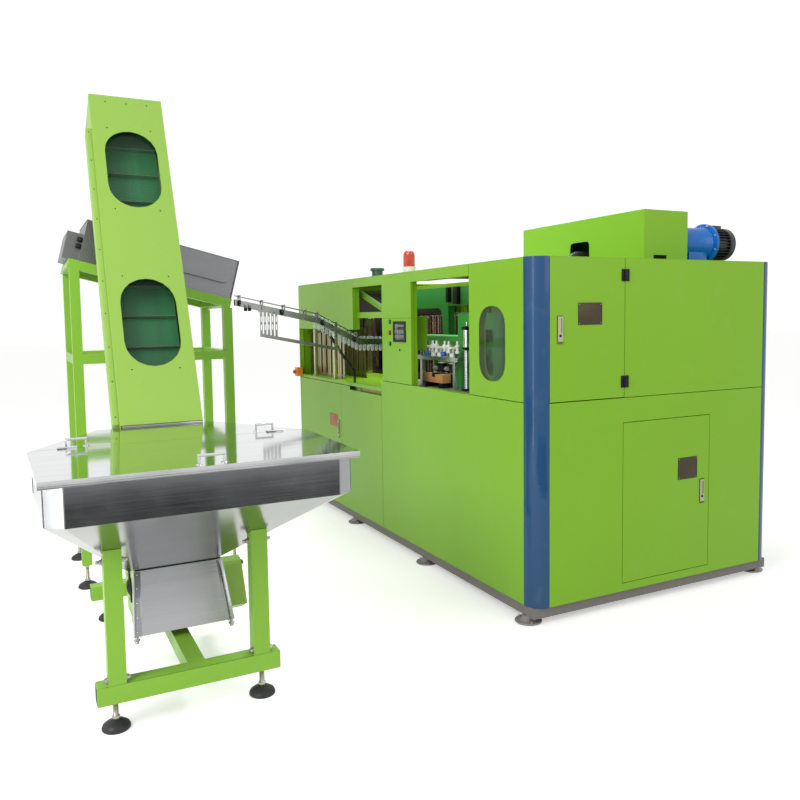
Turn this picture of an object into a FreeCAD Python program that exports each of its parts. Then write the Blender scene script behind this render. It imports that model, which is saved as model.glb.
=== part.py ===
import FreeCAD, Part
import math
import os

# Stretch blow moulding machine for plastic bottles: a long sheet-steel cabinet on levelling feet,
# fed by a stainless preform hopper, a leaning belt elevator and a roller unscrambler with a gravity
# rail. Lengths are in millimetres. While it is laid out, X runs along the cabinet's long front with
# X = 0 at its right end, Y runs from the front (Y = 0) to the back and Z is up from the floor.
# The last step moves everything so that the origin is on the floor under the middle of the machine.

V = FreeCAD.Vector

# ---------------------------------------------------------------- driving dimensions: cabinet
CABINET_LENGTH = 3787.0
CABINET_DEPTH = 1905.0
CABINET_TOP = 2050.0
SKIN_BOTTOM = 100.0
BELT_LINE = 1248.0            # horizontal seam between lower and upper panels
SHEET = 2.0                   # panel sheet thickness
FOLD = 25.0                   # depth of the folded edges of a panel
SEAM = 4.0                    # gap between neighbouring panels
COLUMN_RADIUS = 100.0         # blue rounded corner columns
TUBE = 50.0                   # square tube of the skeleton
HEADER_BOTTOM = 1976.0        # underside of the fascia above the openings
DECK_TOP = 1190.0             # sheet deck in the feeding half
BED_TOP = 1226.0              # thick machine bed in the moulding half
LEFT_BAY = -2460.0            # right edge of the closed upper left panel
COLUMN_LEFT = -1903.0         # control column, left edge
COLUMN_RIGHT = -1430.0        # control column, right edge
OPENING_RIGHT = -662.0        # right edge of the middle opening
HALF_SEAM = -1931.0           # seam between the two lower front panels
WINDOW_CENTRE = (-413.0, 1568.0)      # X and Z
WINDOW_SIZE = (274.0, 440.0)
WINDOW_CORNER = 115.0         # radius of the window's corners

# ---------------------------------------------------------------- driving dimensions: feeder
STAND_Y = -1865.0             # middle of the hopper stand
BIN_Y = -1845.0               # middle of the hopper bin
ELEVATOR_Y = -1820.0          # middle of the elevator
LID_TOP = 1180.0
BIN_BEND = 1000.0             # where the bin's upright walls end and its slopes begin
THROAT = 525.0                # where the slopes meet the elevator
ELEVATOR_FOOT = (-344.0, 245.0)      # X and Z of the lower end of the elevator's front
ELEVATOR_LEAN = 25.4          # degrees back from upright
ELEVATOR_LENGTH = 3161.0
ELEVATOR_WIDTH = 420.0
ELEVATOR_DEPTH = 400.0
DRUM_RADIUS = 55.0
BELT_GAUGE = 3.0
BELT_WIDTH = 340.0
CLEAT_PITCH = 190.0
CLEAT_HEIGHT = 32.0
TAIL_DRUM_AT = 262.0          # distance of the drums up the incline
HEAD_DRUM_AT = 2985.0
BELT_DEPTH = 200.0            # drum axes behind the elevator's front

# ---------------------------------------------------------------- driving dimensions: unscrambler
TROUGH_CORNER = (-1945.0, -2110.0, 2117.0)   # upper left end of its front side, bottom edge
TROUGH_SLOPE = 14.2           # degrees down towards the cabinet
TROUGH_LENGTH = 1000.0
TROUGH_HEIGHT = 270.0
TROUGH_WIDTH = 650.0
ROLLER_RADIUS = 38.0
ROLLER_GAP = 24.0             # slot between the rollers that holds a preform by its neck
ROLLER_LEVEL = 150.0
POST = 60.0                   # square tube of the unscrambler stand
STAND_POSTS_X = (-1974.0, -2645.0)
STAND_POSTS_Y = (-2170.0, -1200.0)
RAIL_X = TROUGH_CORNER[0] - TROUGH_WIDTH / 2
RAIL_PATH = ((-1030.0, 1880.0), (-385.0, 1740.0), (-40.0, 1565.0), (500.0, 1545.0))   # Y and Z

RUN = 0.05                    # radial clearance of a running shaft
GAP = 0.3                     # clearance between curved faces that must not touch


# ---------------------------------------------------------------- shape helpers
def block(x0, x1, y0, y1, z0, z1):
    """Box between two corners."""
    return Part.makeBox(x1 - x0, y1 - y0, z1 - z0, V(x0, y0, z0))


def rod(radius, start, end):
    """Round bar between two points."""
    axis = V(*end) - V(*start)
    return Part.makeCylinder(radius, axis.Length, V(*start), axis)


def bar(radius, start, end, sides=8):
    """Bar between two points with a many-sided section, for shafts, pins, knobs and handles."""
    axis = V(*end) - V(*start)
    turn = 2 * math.pi / sides
    corners = [V(radius * math.cos(turn * side), radius * math.sin(turn * side), 0)
               for side in range(sides)]
    solid = Part.Face(Part.makePolygon(corners + corners[:1])).extrude(V(0, 0, axis.Length))
    solid.Placement = FreeCAD.Placement(V(*start), FreeCAD.Rotation(V(0, 0, 1), axis))
    return solid


def bore(radius, start, end, sides=8):
    """Cutter for a hole that clears a round shaft of this radius, made like a bar."""
    return bar(radius / math.cos(math.pi / sides), start, end, sides)


def fused(*shapes):
    """One solid out of several that touch or overlap."""
    whole = shapes[0]
    for shape in shapes[1:]:
        whole = whole.fuse(shape)
    return whole.removeSplitter()


def group(shapes):
    """Several separate solids of the same kind, kept apart."""
    return Part.makeCompound(list(shapes))


def moved(shape, x=0.0, y=0.0, z=0.0):
    """Copy of a shape at another place."""
    copy = shape.copy()
    copy.translate(V(x, y, z))
    return copy


def prism(outline, direction):
    """Flat polygon pushed along a direction."""
    corners = [V(*point) for point in outline]
    return Part.Face(Part.makePolygon(corners + corners[:1])).extrude(V(*direction))


def turned(profile, x, y, sides=16):
    """Upright turned part from (radius, height) pairs, as a faceted stack of flat-sided rings."""
    def ring(radius, height):
        turn = 2 * math.pi / sides
        return [V(x + radius * math.cos(turn * (side + 0.5)), y + radius * math.sin(turn * (side + 0.5)),
                  height) for side in range(sides)]

    faces = []
    for (radius, height), (next_radius, next_height) in zip(profile, profile[1:]):
        lower, upper = ring(radius, height), ring(next_radius, next_height)
        for side in range(sides):
            after = (side + 1) % sides
            faces.append([lower[side], lower[after], upper[after], upper[side]])
    faces.append(ring(*profile[0])[::-1])
    faces.append(ring(*profile[-1]))
    shell = Part.makeShell([Part.Face(Part.makePolygon(face + face[:1])) for face in faces])
    solid = Part.makeSolid(shell)
    return solid if solid.Volume > 0 else solid.reversed()


def rounded_slot(width, height, radius, thickness):
    """Upright rectangle with rounded corners in the XZ plane, centred, from Y = 0 backwards."""
    reach_x, reach_z = width / 2 - radius, height / 2 - radius
    outline = []
    for sign_x, sign_z, first in ((1, 1, 0), (-1, 1, 90), (-1, -1, 180), (1, -1, 270)):
        for step in range(6):
            angle = math.radians(first + 18 * step)
            outline.append((sign_x * reach_x + radius * math.cos(angle), 0,
                            sign_z * reach_z + radius * math.sin(angle)))
    return prism(outline, (0, thickness, 0))


def pan(u0, u1, z0, z1):
    """Sheet panel with folded edges, face on Y = 0 and folds running backwards."""
    return block(u0, u1, 0, FOLD, z0, z1).cut(
        block(u0 + SHEET, u1 - SHEET, SHEET, FOLD + 1, z0 + SHEET, z1 - SHEET))


def on_right_end(shape):
    """Turn a panel made for the front so that it faces +X at the cabinet's right end."""
    copy = shape.copy()
    copy.rotate(V(0, 0, 0), V(0, 0, 1), 90)
    return copy


def on_left_end(shape):
    """Turn a panel made for the front so that it faces -X; its u runs from the back forwards."""
    copy = shape.copy()
    copy.rotate(V(0, 0, 0), V(0, 0, 1), -90)
    copy.translate(V(-CABINET_LENGTH, CABINET_DEPTH, 0))
    return copy


def on_back(shape):
    """Turn a panel made for the front so that it faces +Y; its u runs from the right end."""
    copy = shape.copy()
    copy.rotate(V(0, 0, 0), V(0, 0, 1), 180)
    copy.translate(V(0, CABINET_DEPTH, 0))
    return copy


def lean(shape):
    """Put a part made upright (front on X = 0) into the leaning elevator."""
    copy = shape.copy()
    place = FreeCAD.Placement(V(ELEVATOR_FOOT[0], ELEVATOR_Y, ELEVATOR_FOOT[1]),
                              FreeCAD.Rotation(V(0, 1, 0), -ELEVATOR_LEAN))
    copy.Placement = place.multiply(copy.Placement)
    return copy


def slope(shape):
    """Put a part made level (Y = 0 at the upper end) into the sloping unscrambler."""
    copy = shape.copy()
    place = FreeCAD.Placement(V(*TROUGH_CORNER), FreeCAD.Rotation(V(1, 0, 0), -TROUGH_SLOPE))
    copy.Placement = place.multiply(copy.Placement)
    return copy


# ---------------------------------------------------------------- cabinet: base and skeleton
FRONT_TUBE_Y = (87.0, 137.0)          # longitudinal tubes behind the front
BACK_TUBE_Y = (1828.0, 1878.0)
FRONT_FEET_X = (-110.0, -1300.0, -2525.0, -3705.0)
BACK_FEET_Y = 1868.0
FRONT_FEET_Y = 37.0
DOOR_PIN = 3.0                        # radius of the pin hinges
FRONT_DOOR = (-3753.0, -2752.0, 104.0, 1160.0)
FRONT_DOOR_AXIS = (-3745.0, 8.0)      # X and Y


def base_frame():
    """Dark plinth of square tube on which the cabinet stands, with the front door's lower pin."""
    z0, z1 = 40.0, SKIN_BOTTOM
    tubes = [block(-3765, -22, 12, 72, z0, z1), block(-3765, -22, 1833, 1893, z0, z1)]
    for x in (-3765, -2510, -1280, -82):
        tubes.append(block(x, x + 60, 72, 1833, z0, z1))
    x, y = FRONT_DOOR_AXIS
    lug = block(x - 9, x + 9, 0, 12, 84, 96)
    tubes[0] = fused(tubes[0], lug, bar(DOOR_PIN, (x, y, 96), (x, y, 128), 12))
    return group(tubes)


def machine_feet():
    """Heavy levelling feet: moulded disc with a coned back and a lock plate."""
    profile = ((80, 0), (80, 10), (34, 26), (34, 40))
    return group(turned(profile, x, y, 12) for x in FRONT_FEET_X for y in (FRONT_FEET_Y, BACK_FEET_Y))


ROOF_RING = (2004.0, 2044.0)          # heights of the tubes under the roof
BED_RING = (1136.0, 1186.0)           # heights of the tubes under bed and deck
JAMB_LEFT = (-2505.0, -2462.0)        # post behind the right edge of the closed upper left panel
JAMB_MIDDLE = (-1482.0, -1432.0)      # post behind the right edge of the control column
ENCLOSURE = (-1880.0, -1500.0, 92.0, 168.0, 1490.0, 1735.0)
PORTAL_X = (-3120.0, -1440.0)
PORTAL_Y = (620.0, 680.0)
PORTAL_TOP = 1964.0


def main_frame():
    """Green skeleton: posts, roof ring, bed ring, brace, control enclosure and door tracks."""
    y0, y1 = FRONT_TUBE_Y
    b0, b1 = BACK_TUBE_Y
    roof0, roof1 = ROOF_RING
    bed0, bed1 = BED_RING
    tubes = [
        block(-3750, -60, y0, y1, roof0, roof1),
        block(-3750, -60, b0, b1, roof0, roof1),
        block(-3750, -110, y0, y1, bed0, bed1),
        block(-3750, -60, b0 - TUBE, b0, bed0, bed1),
    ]
    for x0, x1 in ((-3750, -3700), (-2455, -2385), (-1425, -1345)):
        tubes.append(block(x0, x1, 27, y0, SKIN_BOTTOM, bed1))
    tubes.append(block(-110, -60, y0, y1, SKIN_BOTTOM, roof0))
    tubes.append(block(-3750, -3700, 112, 162, DECK_TOP, roof0))
    for x in (-3750, -2455, -1400, -110):
        tubes.append(block(x, x + TUBE, b0, b1, SKIN_BOTTOM, roof0))
    for x in (-3750, -2430, -1500, -110):
        tubes.append(block(x, x + TUBE, y1, b0 - TUBE, bed0, bed1))
    for x in (-3750, -1500, -110):
        tubes.append(block(x, x + TUBE, y1, b0, roof0, roof1))
    # short post at the entry's right edge and slim post beside the moulding opening, with the
    # stubs that hold them to the tubes
    x0, x1 = JAMB_LEFT
    tubes += [block(x0, x1, 27, 62, 1632, roof1), block(x0, x1, 62, y0, roof0, roof1)]
    x0, x1 = JAMB_MIDDLE
    tubes += [block(x0, x1, 27, 52, bed0, roof1), block(x0, x1, 52, y0, roof0, roof1),
              block(x0, x1, 52, y0, bed0, bed1)]
    # bar between the two small openings, from post to post
    tubes.append(block(JAMB_LEFT[1], JAMB_MIDDLE[0], 40, 60, 1727, 1774))
    # enclosure behind the operator's screen on its leg; the brace runs down to it from the roof
    x0, x1, front, back, low, high = ENCLOSURE
    tubes += [block(x0, x1, front, back, low, high), block(x0, x0 + 40, 110, 150, BED_TOP, low)]
    tubes.append(prism(((-2864, 110, roof0), (-2750, 110, roof0), (x0, 110, high),
                        (x0, 110, high - 35)), (0, 40, 0)))
    # lime beam that lies on the portal, and the screen plate beside it
    tubes.append(block(PORTAL_X[0], PORTAL_X[1], *PORTAL_Y, PORTAL_TOP, PORTAL_TOP + 29))
    plate = block(-2080, -1500, 500, 504, BED_TOP, 1580)
    tubes.append(plate.cut(block(-2081, -1900, 499, 505, BED_TOP - 1, 1400)))
    return group(tubes + door_tracks())


def machine_bed():
    """Thick grey bed plate that carries the moulding station."""
    bed = block(HALF_SEAM, -115, 88, 1770, BED_RING[1], BED_TOP)
    return bed.cut(block(-690, -420, 520, 1000, BED_RING[1] - 1, BED_TOP + 1))


def entry_deck():
    """Green sheet deck of the feeding half with its folded front lip."""
    x0, x1 = -3757.0, HALF_SEAM - SEAM
    sheet = block(x0, x1, 0, 1770, 1186, DECK_TOP)
    lip = block(x0, x1, 0, 3, 1165, 1186)
    x, y = FRONT_DOOR_AXIS
    pin = bar(DOOR_PIN, (x, y, 1138), (x, y, 1186), 12)
    return fused(sheet, lip, pin)


def corner_columns():
    """Two blue rolled corner columns at the cabinet's right end."""
    columns = []
    for y, start in ((COLUMN_RADIUS, -90.0), (CABINET_DEPTH - COLUMN_RADIUS, 0.0)):
        outer = Part.makeCylinder(COLUMN_RADIUS, CABINET_TOP - SKIN_BOTTOM,
                                  V(-COLUMN_RADIUS, y, SKIN_BOTTOM), V(0, 0, 1), 90)
        inner = Part.makeCylinder(COLUMN_RADIUS - 3, CABINET_TOP - SKIN_BOTTOM,
                                  V(-COLUMN_RADIUS, y, SKIN_BOTTOM), V(0, 0, 1), 90)
        shell = outer.cut(inner)
        shell.rotate(V(-COLUMN_RADIUS, y, 0), V(0, 0, 1), start)
        columns.append(shell)
    return group(columns)


# ---------------------------------------------------------------- cabinet: skins
def lock_pocket(centre, z0):
    """Cup and cutter of the shallow pocket that holds a lever, for a panel facing -Y."""
    half, height, depth = 21.0, 154.0, 14.0
    hole = block(centre - half, centre + half, -1, depth - 2, z0, z0 + height)
    cup = block(centre - half - 2, centre + half + 2, 0, depth, z0 - 2, z0 + height + 2)
    pin = bar(2.5, (centre - half - 1, 1, z0 + 15), (centre + half + 1, 1, z0 + 15))
    return cup.cut(hole), hole, pin


def with_lock(leaf, centre, z0):
    """Leaf with a lever pocket and the lever's cross pin."""
    cup, hole, pin = lock_pocket(centre, z0)
    return fused(leaf.cut(hole), cup.cut(hole), pin)


def lever(centre, z0):
    """Lift-out lever of a door lock, for a leaf facing -Y; it turns on the pin near its foot."""
    half, top = 18.0, z0 + 150.0
    arm = block(centre - half, centre + half, -6, 8, z0 + 15, top)
    foot = bar(7.0, (centre - half, 1, z0 + 15), (centre + half, 1, z0 + 15), 12)
    grip = block(centre - half + 6, centre + half - 6, -7, -1, z0 + 62, top - 12)
    hole = bore(2.5 + RUN, (centre - half - 1, 1, z0 + 15), (centre + half + 1, 1, z0 + 15))
    return fused(arm, foot).cut(grip).cut(hole)


def pinned_leaf(u0, u1, z0, z1, axis_u):
    """Door leaf whose folded edges carry the bores of two pin hinges."""
    bores = bore(DOOR_PIN + RUN, (axis_u, 8, z0 - 1), (axis_u, 8, z1 + 1), 12)
    return pan(u0, u1, z0, z1).cut(bores)


def front_lower_panels():
    """Fixed lower front skins; the left one is stepped down below the deck's lip."""
    left = pan(-2748, HALF_SEAM - SEAM, SKIN_BOTTOM + 2, 1160)
    left = left.cut(block(-2550, HALF_SEAM, -1, FOLD + 1, 1130, 1170))
    shelf = block(-2550, HALF_SEAM - SEAM, 0, FOLD, 1128, 1130)
    right = pan(HALF_SEAM, -COLUMN_RADIUS - 2, SKIN_BOTTOM + 2, BELT_LINE - 2)
    return group([fused(left, shelf), right])


def front_upper_panels():
    """Upper front skins: closed over the feeding half, and with a slot-shaped window at the right."""
    left = pan(-CABINET_LENGTH + 2, LEFT_BAY, 1632, CABINET_TOP - 4)
    right = pan(OPENING_RIGHT, -COLUMN_RADIUS - 2, BELT_LINE + 2, CABINET_TOP - 4)
    return group([left, right.cut(window_cutter(*WINDOW_SIZE))])


BUTTONS_X = -1765.0
BUTTONS_Z = (1697.0, 1616.0, 1535.0)
SCREEN = (-1706.0, -1508.0, 1550.0, 1700.0)


def control_fascia():
    """Folded skin of the header and the control column, with button collars and screen cut-out."""
    header = pan(LEFT_BAY + SEAM, OPENING_RIGHT - SEAM, HEADER_BOTTOM, CABINET_TOP - 4)
    column = pan(COLUMN_LEFT, COLUMN_RIGHT, BELT_LINE + 2, HEADER_BOTTOM + SHEET)
    column = column.cut(block(COLUMN_LEFT + SHEET, COLUMN_RIGHT - SHEET, SHEET, FOLD + 1,
                              HEADER_BOTTOM - 2, HEADER_BOTTOM + 3))
    skin = fused(header, column)
    x0, x1, z0, z1 = SCREEN
    skin = skin.cut(block(x0 + 6, x1 - 6, -1, SHEET + 1, z0 + 6, z1 - 6))
    for z in BUTTONS_Z:
        skin = fused(skin, bar(15, (BUTTONS_X, -5, z), (BUTTONS_X, SHEET, z), 12))
        skin = skin.cut(bar(11.5, (BUTTONS_X, -6, z), (BUTTONS_X, SHEET + 1, z), 12))
    return skin


def push_button(z):
    """Cap and plunger of one push button; it travels inwards along +Y."""
    cap = bar(11.2, (BUTTONS_X, -11, z), (BUTTONS_X, 12, z), 12)
    return fused(cap, bar(6, (BUTTONS_X, 12, z), (BUTTONS_X, 30, z)))


def operator_screen():
    """Operator panel: bezel with a recessed glass."""
    x0, x1, z0, z1 = SCREEN
    bezel = block(x0, x1, -6, 0, z0, z1).cut(block(x0 + 17, x1 - 17, -7, -3, z0 + 17, z1 - 17))
    body = block(x0 + 10, x1 - 10, 0, 40, z0 + 10, z1 - 10)
    return fused(bezel, body)


def window_cutter(width, height):
    """Cutter with rounded corners at the place of the right-hand window."""
    corner = WINDOW_CORNER + (width - WINDOW_SIZE[0]) / 2
    return moved(rounded_slot(width, height, corner, 200), WINDOW_CENTRE[0], -50, WINDOW_CENTRE[1])


def window_panes():
    """Clear panes screwed behind the fixed window and the two elevator windows."""
    front = block(WINDOW_CENTRE[0] - 185, WINDOW_CENTRE[0] + 185, SHEET, SHEET + 4,
                  WINDOW_CENTRE[1] - 275, WINDOW_CENTRE[1] + 275)
    panes = [front]
    for at in ELEVATOR_WINDOWS:
        panes.append(lean(block(-24, -20, -180, 180, at - 290, at + 290)))
    return group(panes)


SLIDE_Y = (58.0, 82.0)
SLIDE_X = (-690.0, -22.0)
SLIDE_Z = (1230.0, 1988.0)
SLIDE_TRAVEL = 650.0


def sliding_door():
    """Guard door that is parked behind the right panel; it has its own slot-shaped window."""
    leaf = block(SLIDE_X[0], SLIDE_X[1], SLIDE_Y[0], SLIDE_Y[1], *SLIDE_Z)
    leaf = leaf.cut(block(SLIDE_X[0] + 2, SLIDE_X[1] - 2, SLIDE_Y[0] + 2, SLIDE_Y[1] + 1,
                          SLIDE_Z[0] + 2, SLIDE_Z[1] - 2))
    leaf = leaf.cut(window_cutter(WINDOW_SIZE[0] + 40, WINDOW_SIZE[1] + 40))
    grip = block(SLIDE_X[0] + 8, SLIDE_X[0] + 20, SLIDE_Y[0] - 14, SLIDE_Y[0], 1560, 1680)
    return fused(leaf, grip)


def sliding_door_pane():
    """Clear pane behind the sliding door's window."""
    return block(WINDOW_CENTRE[0] - 190, WINDOW_CENTRE[0] + 190, SLIDE_Y[0] + 2, SLIDE_Y[0] + 6,
                 WINDOW_CENTRE[1] - 300, WINDOW_CENTRE[1] + 300)


def door_tracks():
    """Two channels that guide the sliding door above and below, as a list."""
    tracks = []
    x0, x1 = -1344.0, -20.0
    outer = (SLIDE_Y[0] - 6, FRONT_TUBE_Y[0])
    for low, high, slot_low, slot_high in ((1150, 1240, 1228, 1241), (1978, 2014, 1977, 1990)):
        channel = block(x0, x1, outer[0], outer[1], low, high)
        channel = channel.cut(block(x0 - 1, x1 + 1, SLIDE_Y[0] - 1, SLIDE_Y[1] + 1,
                                    slot_low, slot_high))
        tracks.append(channel)
    return tracks


UPPER_DOOR = (104.0, 636.0, BELT_LINE + 4, CABINET_TOP - 4)
HINGE_AXIS = (6.5, 638.0)             # X and Y of the exposed hinge pins
HINGE_Z = (1308.0, 1918.0)
HINGE_HEIGHT = 68.0
LOWER_DOOR = (634.0, 1334.0, 152.0, 1100.0)
LOWER_DOOR_AXIS = (-8.0, 642.0)       # X and Y
LEVERS = {"upper": (171.0, 1572.0), "lower": (1274.0, 552.0), "front": (-2806.0, 690.0)}


def hinge_knuckles(owner):
    """Knuckles and wing of the two exposed hinges, for the fixed skin or for the door."""
    x, y = HINGE_AXIS
    pieces = []
    for z in HINGE_Z:
        thirds = [z, z + HINGE_HEIGHT / 3, z + 2 * HINGE_HEIGHT / 3, z + HINGE_HEIGHT]
        if owner == "door":
            middle = bar(6.2, (x, y, thirds[1] + 0.5), (x, y, thirds[2] - 0.5), 8)
            wing = block(0, 4, y - 27, y - 7, z, z + HINGE_HEIGHT)
            tab = block(0.4, 6, y - 8, y, thirds[1] + 0.5, thirds[2] - 0.5)
            hole = bore(3 + RUN, (x, y, z), (x, y, z + HINGE_HEIGHT))
            pieces.append(fused(middle, wing, tab).cut(hole))
        else:
            ends = [bar(6.2, (x, y, thirds[0]), (x, y, thirds[1]), 8),
                    bar(6.2, (x, y, thirds[2]), (x, y, thirds[3]), 8)]
            wing = block(0, 4, y + 8, y + 29, z, z + HINGE_HEIGHT)
            tabs = [block(0.4, 6, y, y + 8, thirds[0], thirds[1]),
                    block(0.4, 6, y, y + 8, thirds[2], thirds[3])]
            pin = bar(3, (x, y, thirds[1]), (x, y, thirds[2]))
            pieces.append(fused(wing, pin, *(ends + tabs)))
    return pieces


def end_upper_door():
    """Upper door of the right end, with its hinge wings and its lever pocket."""
    leaf = with_lock(pan(*UPPER_DOOR), *LEVERS["upper"])
    return fused(on_right_end(leaf), *hinge_knuckles("door"))


def end_panels():
    """Fixed skins of the right end with the hinges' fixed halves and the lower door's pins."""
    upper = pan(640, CABINET_DEPTH - COLUMN_RADIUS - 2, BELT_LINE + 2, CABINET_TOP - 4)
    lower = pan(COLUMN_RADIUS + 2, CABINET_DEPTH - COLUMN_RADIUS - 2, SKIN_BOTTOM + 2, BELT_LINE - 2)
    u0, u1, z0, z1 = LOWER_DOOR
    rim = block(u0 - 6, u1 + 6, 0, FOLD, z0 - 6, z1 + 6)
    hole = block(u0 - 4, u1 + 4, -1, FOLD + 1, z0 - 4, z1 + 4)
    lower = fused(lower, rim.cut(hole)).cut(hole)
    y = LOWER_DOOR_AXIS[1]
    low_pin = bar(DOOR_PIN, (y, 8, z0 - 6), (y, 8, z0 + 20), 12)
    top_pin = bar(DOOR_PIN, (y, 8, z1 - 20), (y, 8, z1 + 6), 12)
    upper_skin = fused(on_right_end(upper), *hinge_knuckles("skin"))
    return group([upper_skin, on_right_end(fused(lower, low_pin, top_pin))])


def end_lower_door():
    """Lower door of the right end on hidden pin hinges."""
    u0, u1, z0, z1 = LOWER_DOOR
    leaf = pinned_leaf(u0, u1, z0, z1, LOWER_DOOR_AXIS[1])
    return on_right_end(with_lock(leaf, *LEVERS["lower"]))


def front_door():
    """Lower left door of the front on hidden pin hinges."""
    leaf = pinned_leaf(*FRONT_DOOR, FRONT_DOOR_AXIS[0])
    return with_lock(leaf, *LEVERS["front"])


def back_covers():
    """Plain screwed skins of the back and of the left end."""
    covers = [on_left_end(pan(2, CABINET_DEPTH - 30, SKIN_BOTTOM + 2, CABINET_TOP - 4))]
    # the left end wraps round the front corner beside the front door
    wrap = block(-CABINET_LENGTH + 2, -3757, 0, SHEET, SKIN_BOTTOM + 2, 1160)
    side = block(-CABINET_LENGTH, -CABINET_LENGTH + SHEET, 0, 30, SKIN_BOTTOM + 2, CABINET_TOP - 4)
    covers[0] = fused(covers[0], side, wrap)
    inner = CABINET_LENGTH - FOLD - SEAM
    for u0, u1 in ((COLUMN_RADIUS + 2, 1400), (1404, 2600), (2604, inner)):
        covers.append(on_back(pan(u0, u1, SKIN_BOTTOM + 2, BELT_LINE - 2)))
        covers.append(on_back(pan(u0, u1, BELT_LINE + 2, CABINET_TOP - 4)))
    return group(covers)


ROOF_WELL = (-3350.0, -1540.0, 240.0, 1640.0)
BEACON = (-1560.0, 60.0)


def roof():
    """Roof sheet with its open well, four plugs in the lifting holes and the beacon's white socket."""
    low, high = CABINET_TOP - 4, CABINET_TOP
    sheet = block(-CABINET_LENGTH, 0, 0, CABINET_DEPTH, low, high)
    # the rolled columns reach up to the roof's top face
    for y, y0 in ((COLUMN_RADIUS, -1), (CABINET_DEPTH - COLUMN_RADIUS, CABINET_DEPTH - COLUMN_RADIUS)):
        core = rod(COLUMN_RADIUS - 3, (-COLUMN_RADIUS, y, low - 1), (-COLUMN_RADIUS, y, high + 1))
        corner = block(-COLUMN_RADIUS, 1, y0, y0 + COLUMN_RADIUS + 1, low - 1, high + 1)
        sheet = sheet.cut(corner.cut(core))
    x0, x1, y0, y1 = ROOF_WELL
    rim = block(x0 - 3, x1 + 3, y0 - 3, y1 + 3, low, high + 6)
    well = block(x0, x1, y0, y1, low - 1, high + 7)
    whole = fused(sheet, rim).cut(well)
    dome = ((18, high), (18, high + 6), (9, high + 12))
    plugs = [turned(dome, x, y, 8) for x, y in ((-3735, 60), (-3735, CABINET_DEPTH - 60),
                                                (-135, 150), (-135, CABINET_DEPTH - 60))]
    socket = turned(((46, high), (46, high + 38)), *BEACON)
    return group([whole, socket] + plugs)


ROOF_BOX = (-1440.0, -200.0, 974.0, 1342.0, 2369.0)


def roof_box():
    """Raised box over the moulding station, with the cable notch and the cut-out at its end."""
    x0, x1, y0, y1, top = ROOF_BOX
    shell = block(x0, x1, y0, y1, CABINET_TOP, top)
    shell = shell.cut(block(x0 + 3, x1 - 3, y0 + 3, y1 - 3, CABINET_TOP - 1, top - 3))
    notch = fused(block(-896, -700, y0 - 1, y0 + 4, CABINET_TOP - 1, 2190),
                  block(-866, -730, y0 - 1, y0 + 4, 2190, 2220),
                  bar(30, (-866, y0 - 1, 2190), (-866, y0 + 4, 2190), 16),
                  bar(30, (-730, y0 - 1, 2190), (-730, y0 + 4, 2190), 16))
    end_slot = block(x1 - 4, x1 + 1, 1055, 1165, CABINET_TOP - 1, 2092)
    return shell.cut(notch).cut(end_slot)


BLOWER = (-320.0, 2185.0)             # X and Z of the fan drive's axis
BLOWER_Y = (1342.0, 1622.0)           # housing between the roof box and the motor's flange


def fan_housing():
    """Long round drive housing with its flange, on the back of the roof box."""
    x, z = BLOWER
    y0, y1 = BLOWER_Y
    return fused(bar(105, (x, y0, z), (x, y1, z), 24), bar(130, (x, y1 - 22, z), (x, y1, z), 24),
                 block(x - 80, x + 80, y0 + 60, y1 - 60, CABINET_TOP, z - 60))


def fan_motor():
    """Finned electric motor flanged to the fan drive, with its fan cowl and terminal box."""
    x, z = BLOWER
    y = BLOWER_Y[1]
    body = bar(90, (x, y, z), (x, y + 146, z), 16)
    cowl = bar(106, (x, y + 146, z), (x, y + 188, z), 24)
    terminals = block(x - 45, x + 45, y + 20, y + 110, z + 60, z + 120)
    fins = []
    for step in range(16):
        fin = block(x - 2, x + 2, y + 8, y + 146, z + 84, z + 108)
        fin.rotate(V(x, y, z), V(0, 1, 0), 22.5 * step)
        # the terminal box takes the place of the three uppermost fins
        if step not in (0, 1, 15):
            fins.append(fin)
    return fused(body, cowl, terminals, *fins)


def beacon_dome():
    """Red lens of the signal beacon."""
    foot = CABINET_TOP + 38
    profile = ((43, foot), (43, foot + 84), (36, foot + 106), (20, foot + 119), (6, foot + 123))
    return turned(profile, *BEACON, 16)


def vent_cap():
    """Flanged breather cap on the roof."""
    return turned(((43, 2050), (43, 2094), (55, 2094), (55, 2118)), -2130, 75, 12)


STOP = (-3751.0, 1214.0)              # X and Z of the emergency button's axis
STOP_DEPTH = 55.0


def emergency_box():
    """Box of the emergency stop on the front, at the left end of the deck's lip."""
    x, z = STOP
    body = block(x - 36, x + 36, -STOP_DEPTH, 0, z - 42, z + 42)
    body = fused(body, bar(17, (x, -STOP_DEPTH - 5, z), (x, -STOP_DEPTH, z), 16))
    return body.cut(bar(11, (x, -STOP_DEPTH - 6, z), (x, -20, z), 12))


def emergency_button():
    """Red mushroom head of the emergency stop; it is pushed in along +Y."""
    x, z = STOP
    face = -STOP_DEPTH - 12
    stem = bar(10.7, (x, face, z), (x, face + 34, z), 12)
    head = turned(((20, 0), (20, 9), (17, 15), (10, 18)), 0, 0, 12)
    head.rotate(V(0, 0, 0), V(1, 0, 0), 90)
    head.translate(V(x, face, z))
    return fused(stem, head)


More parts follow.
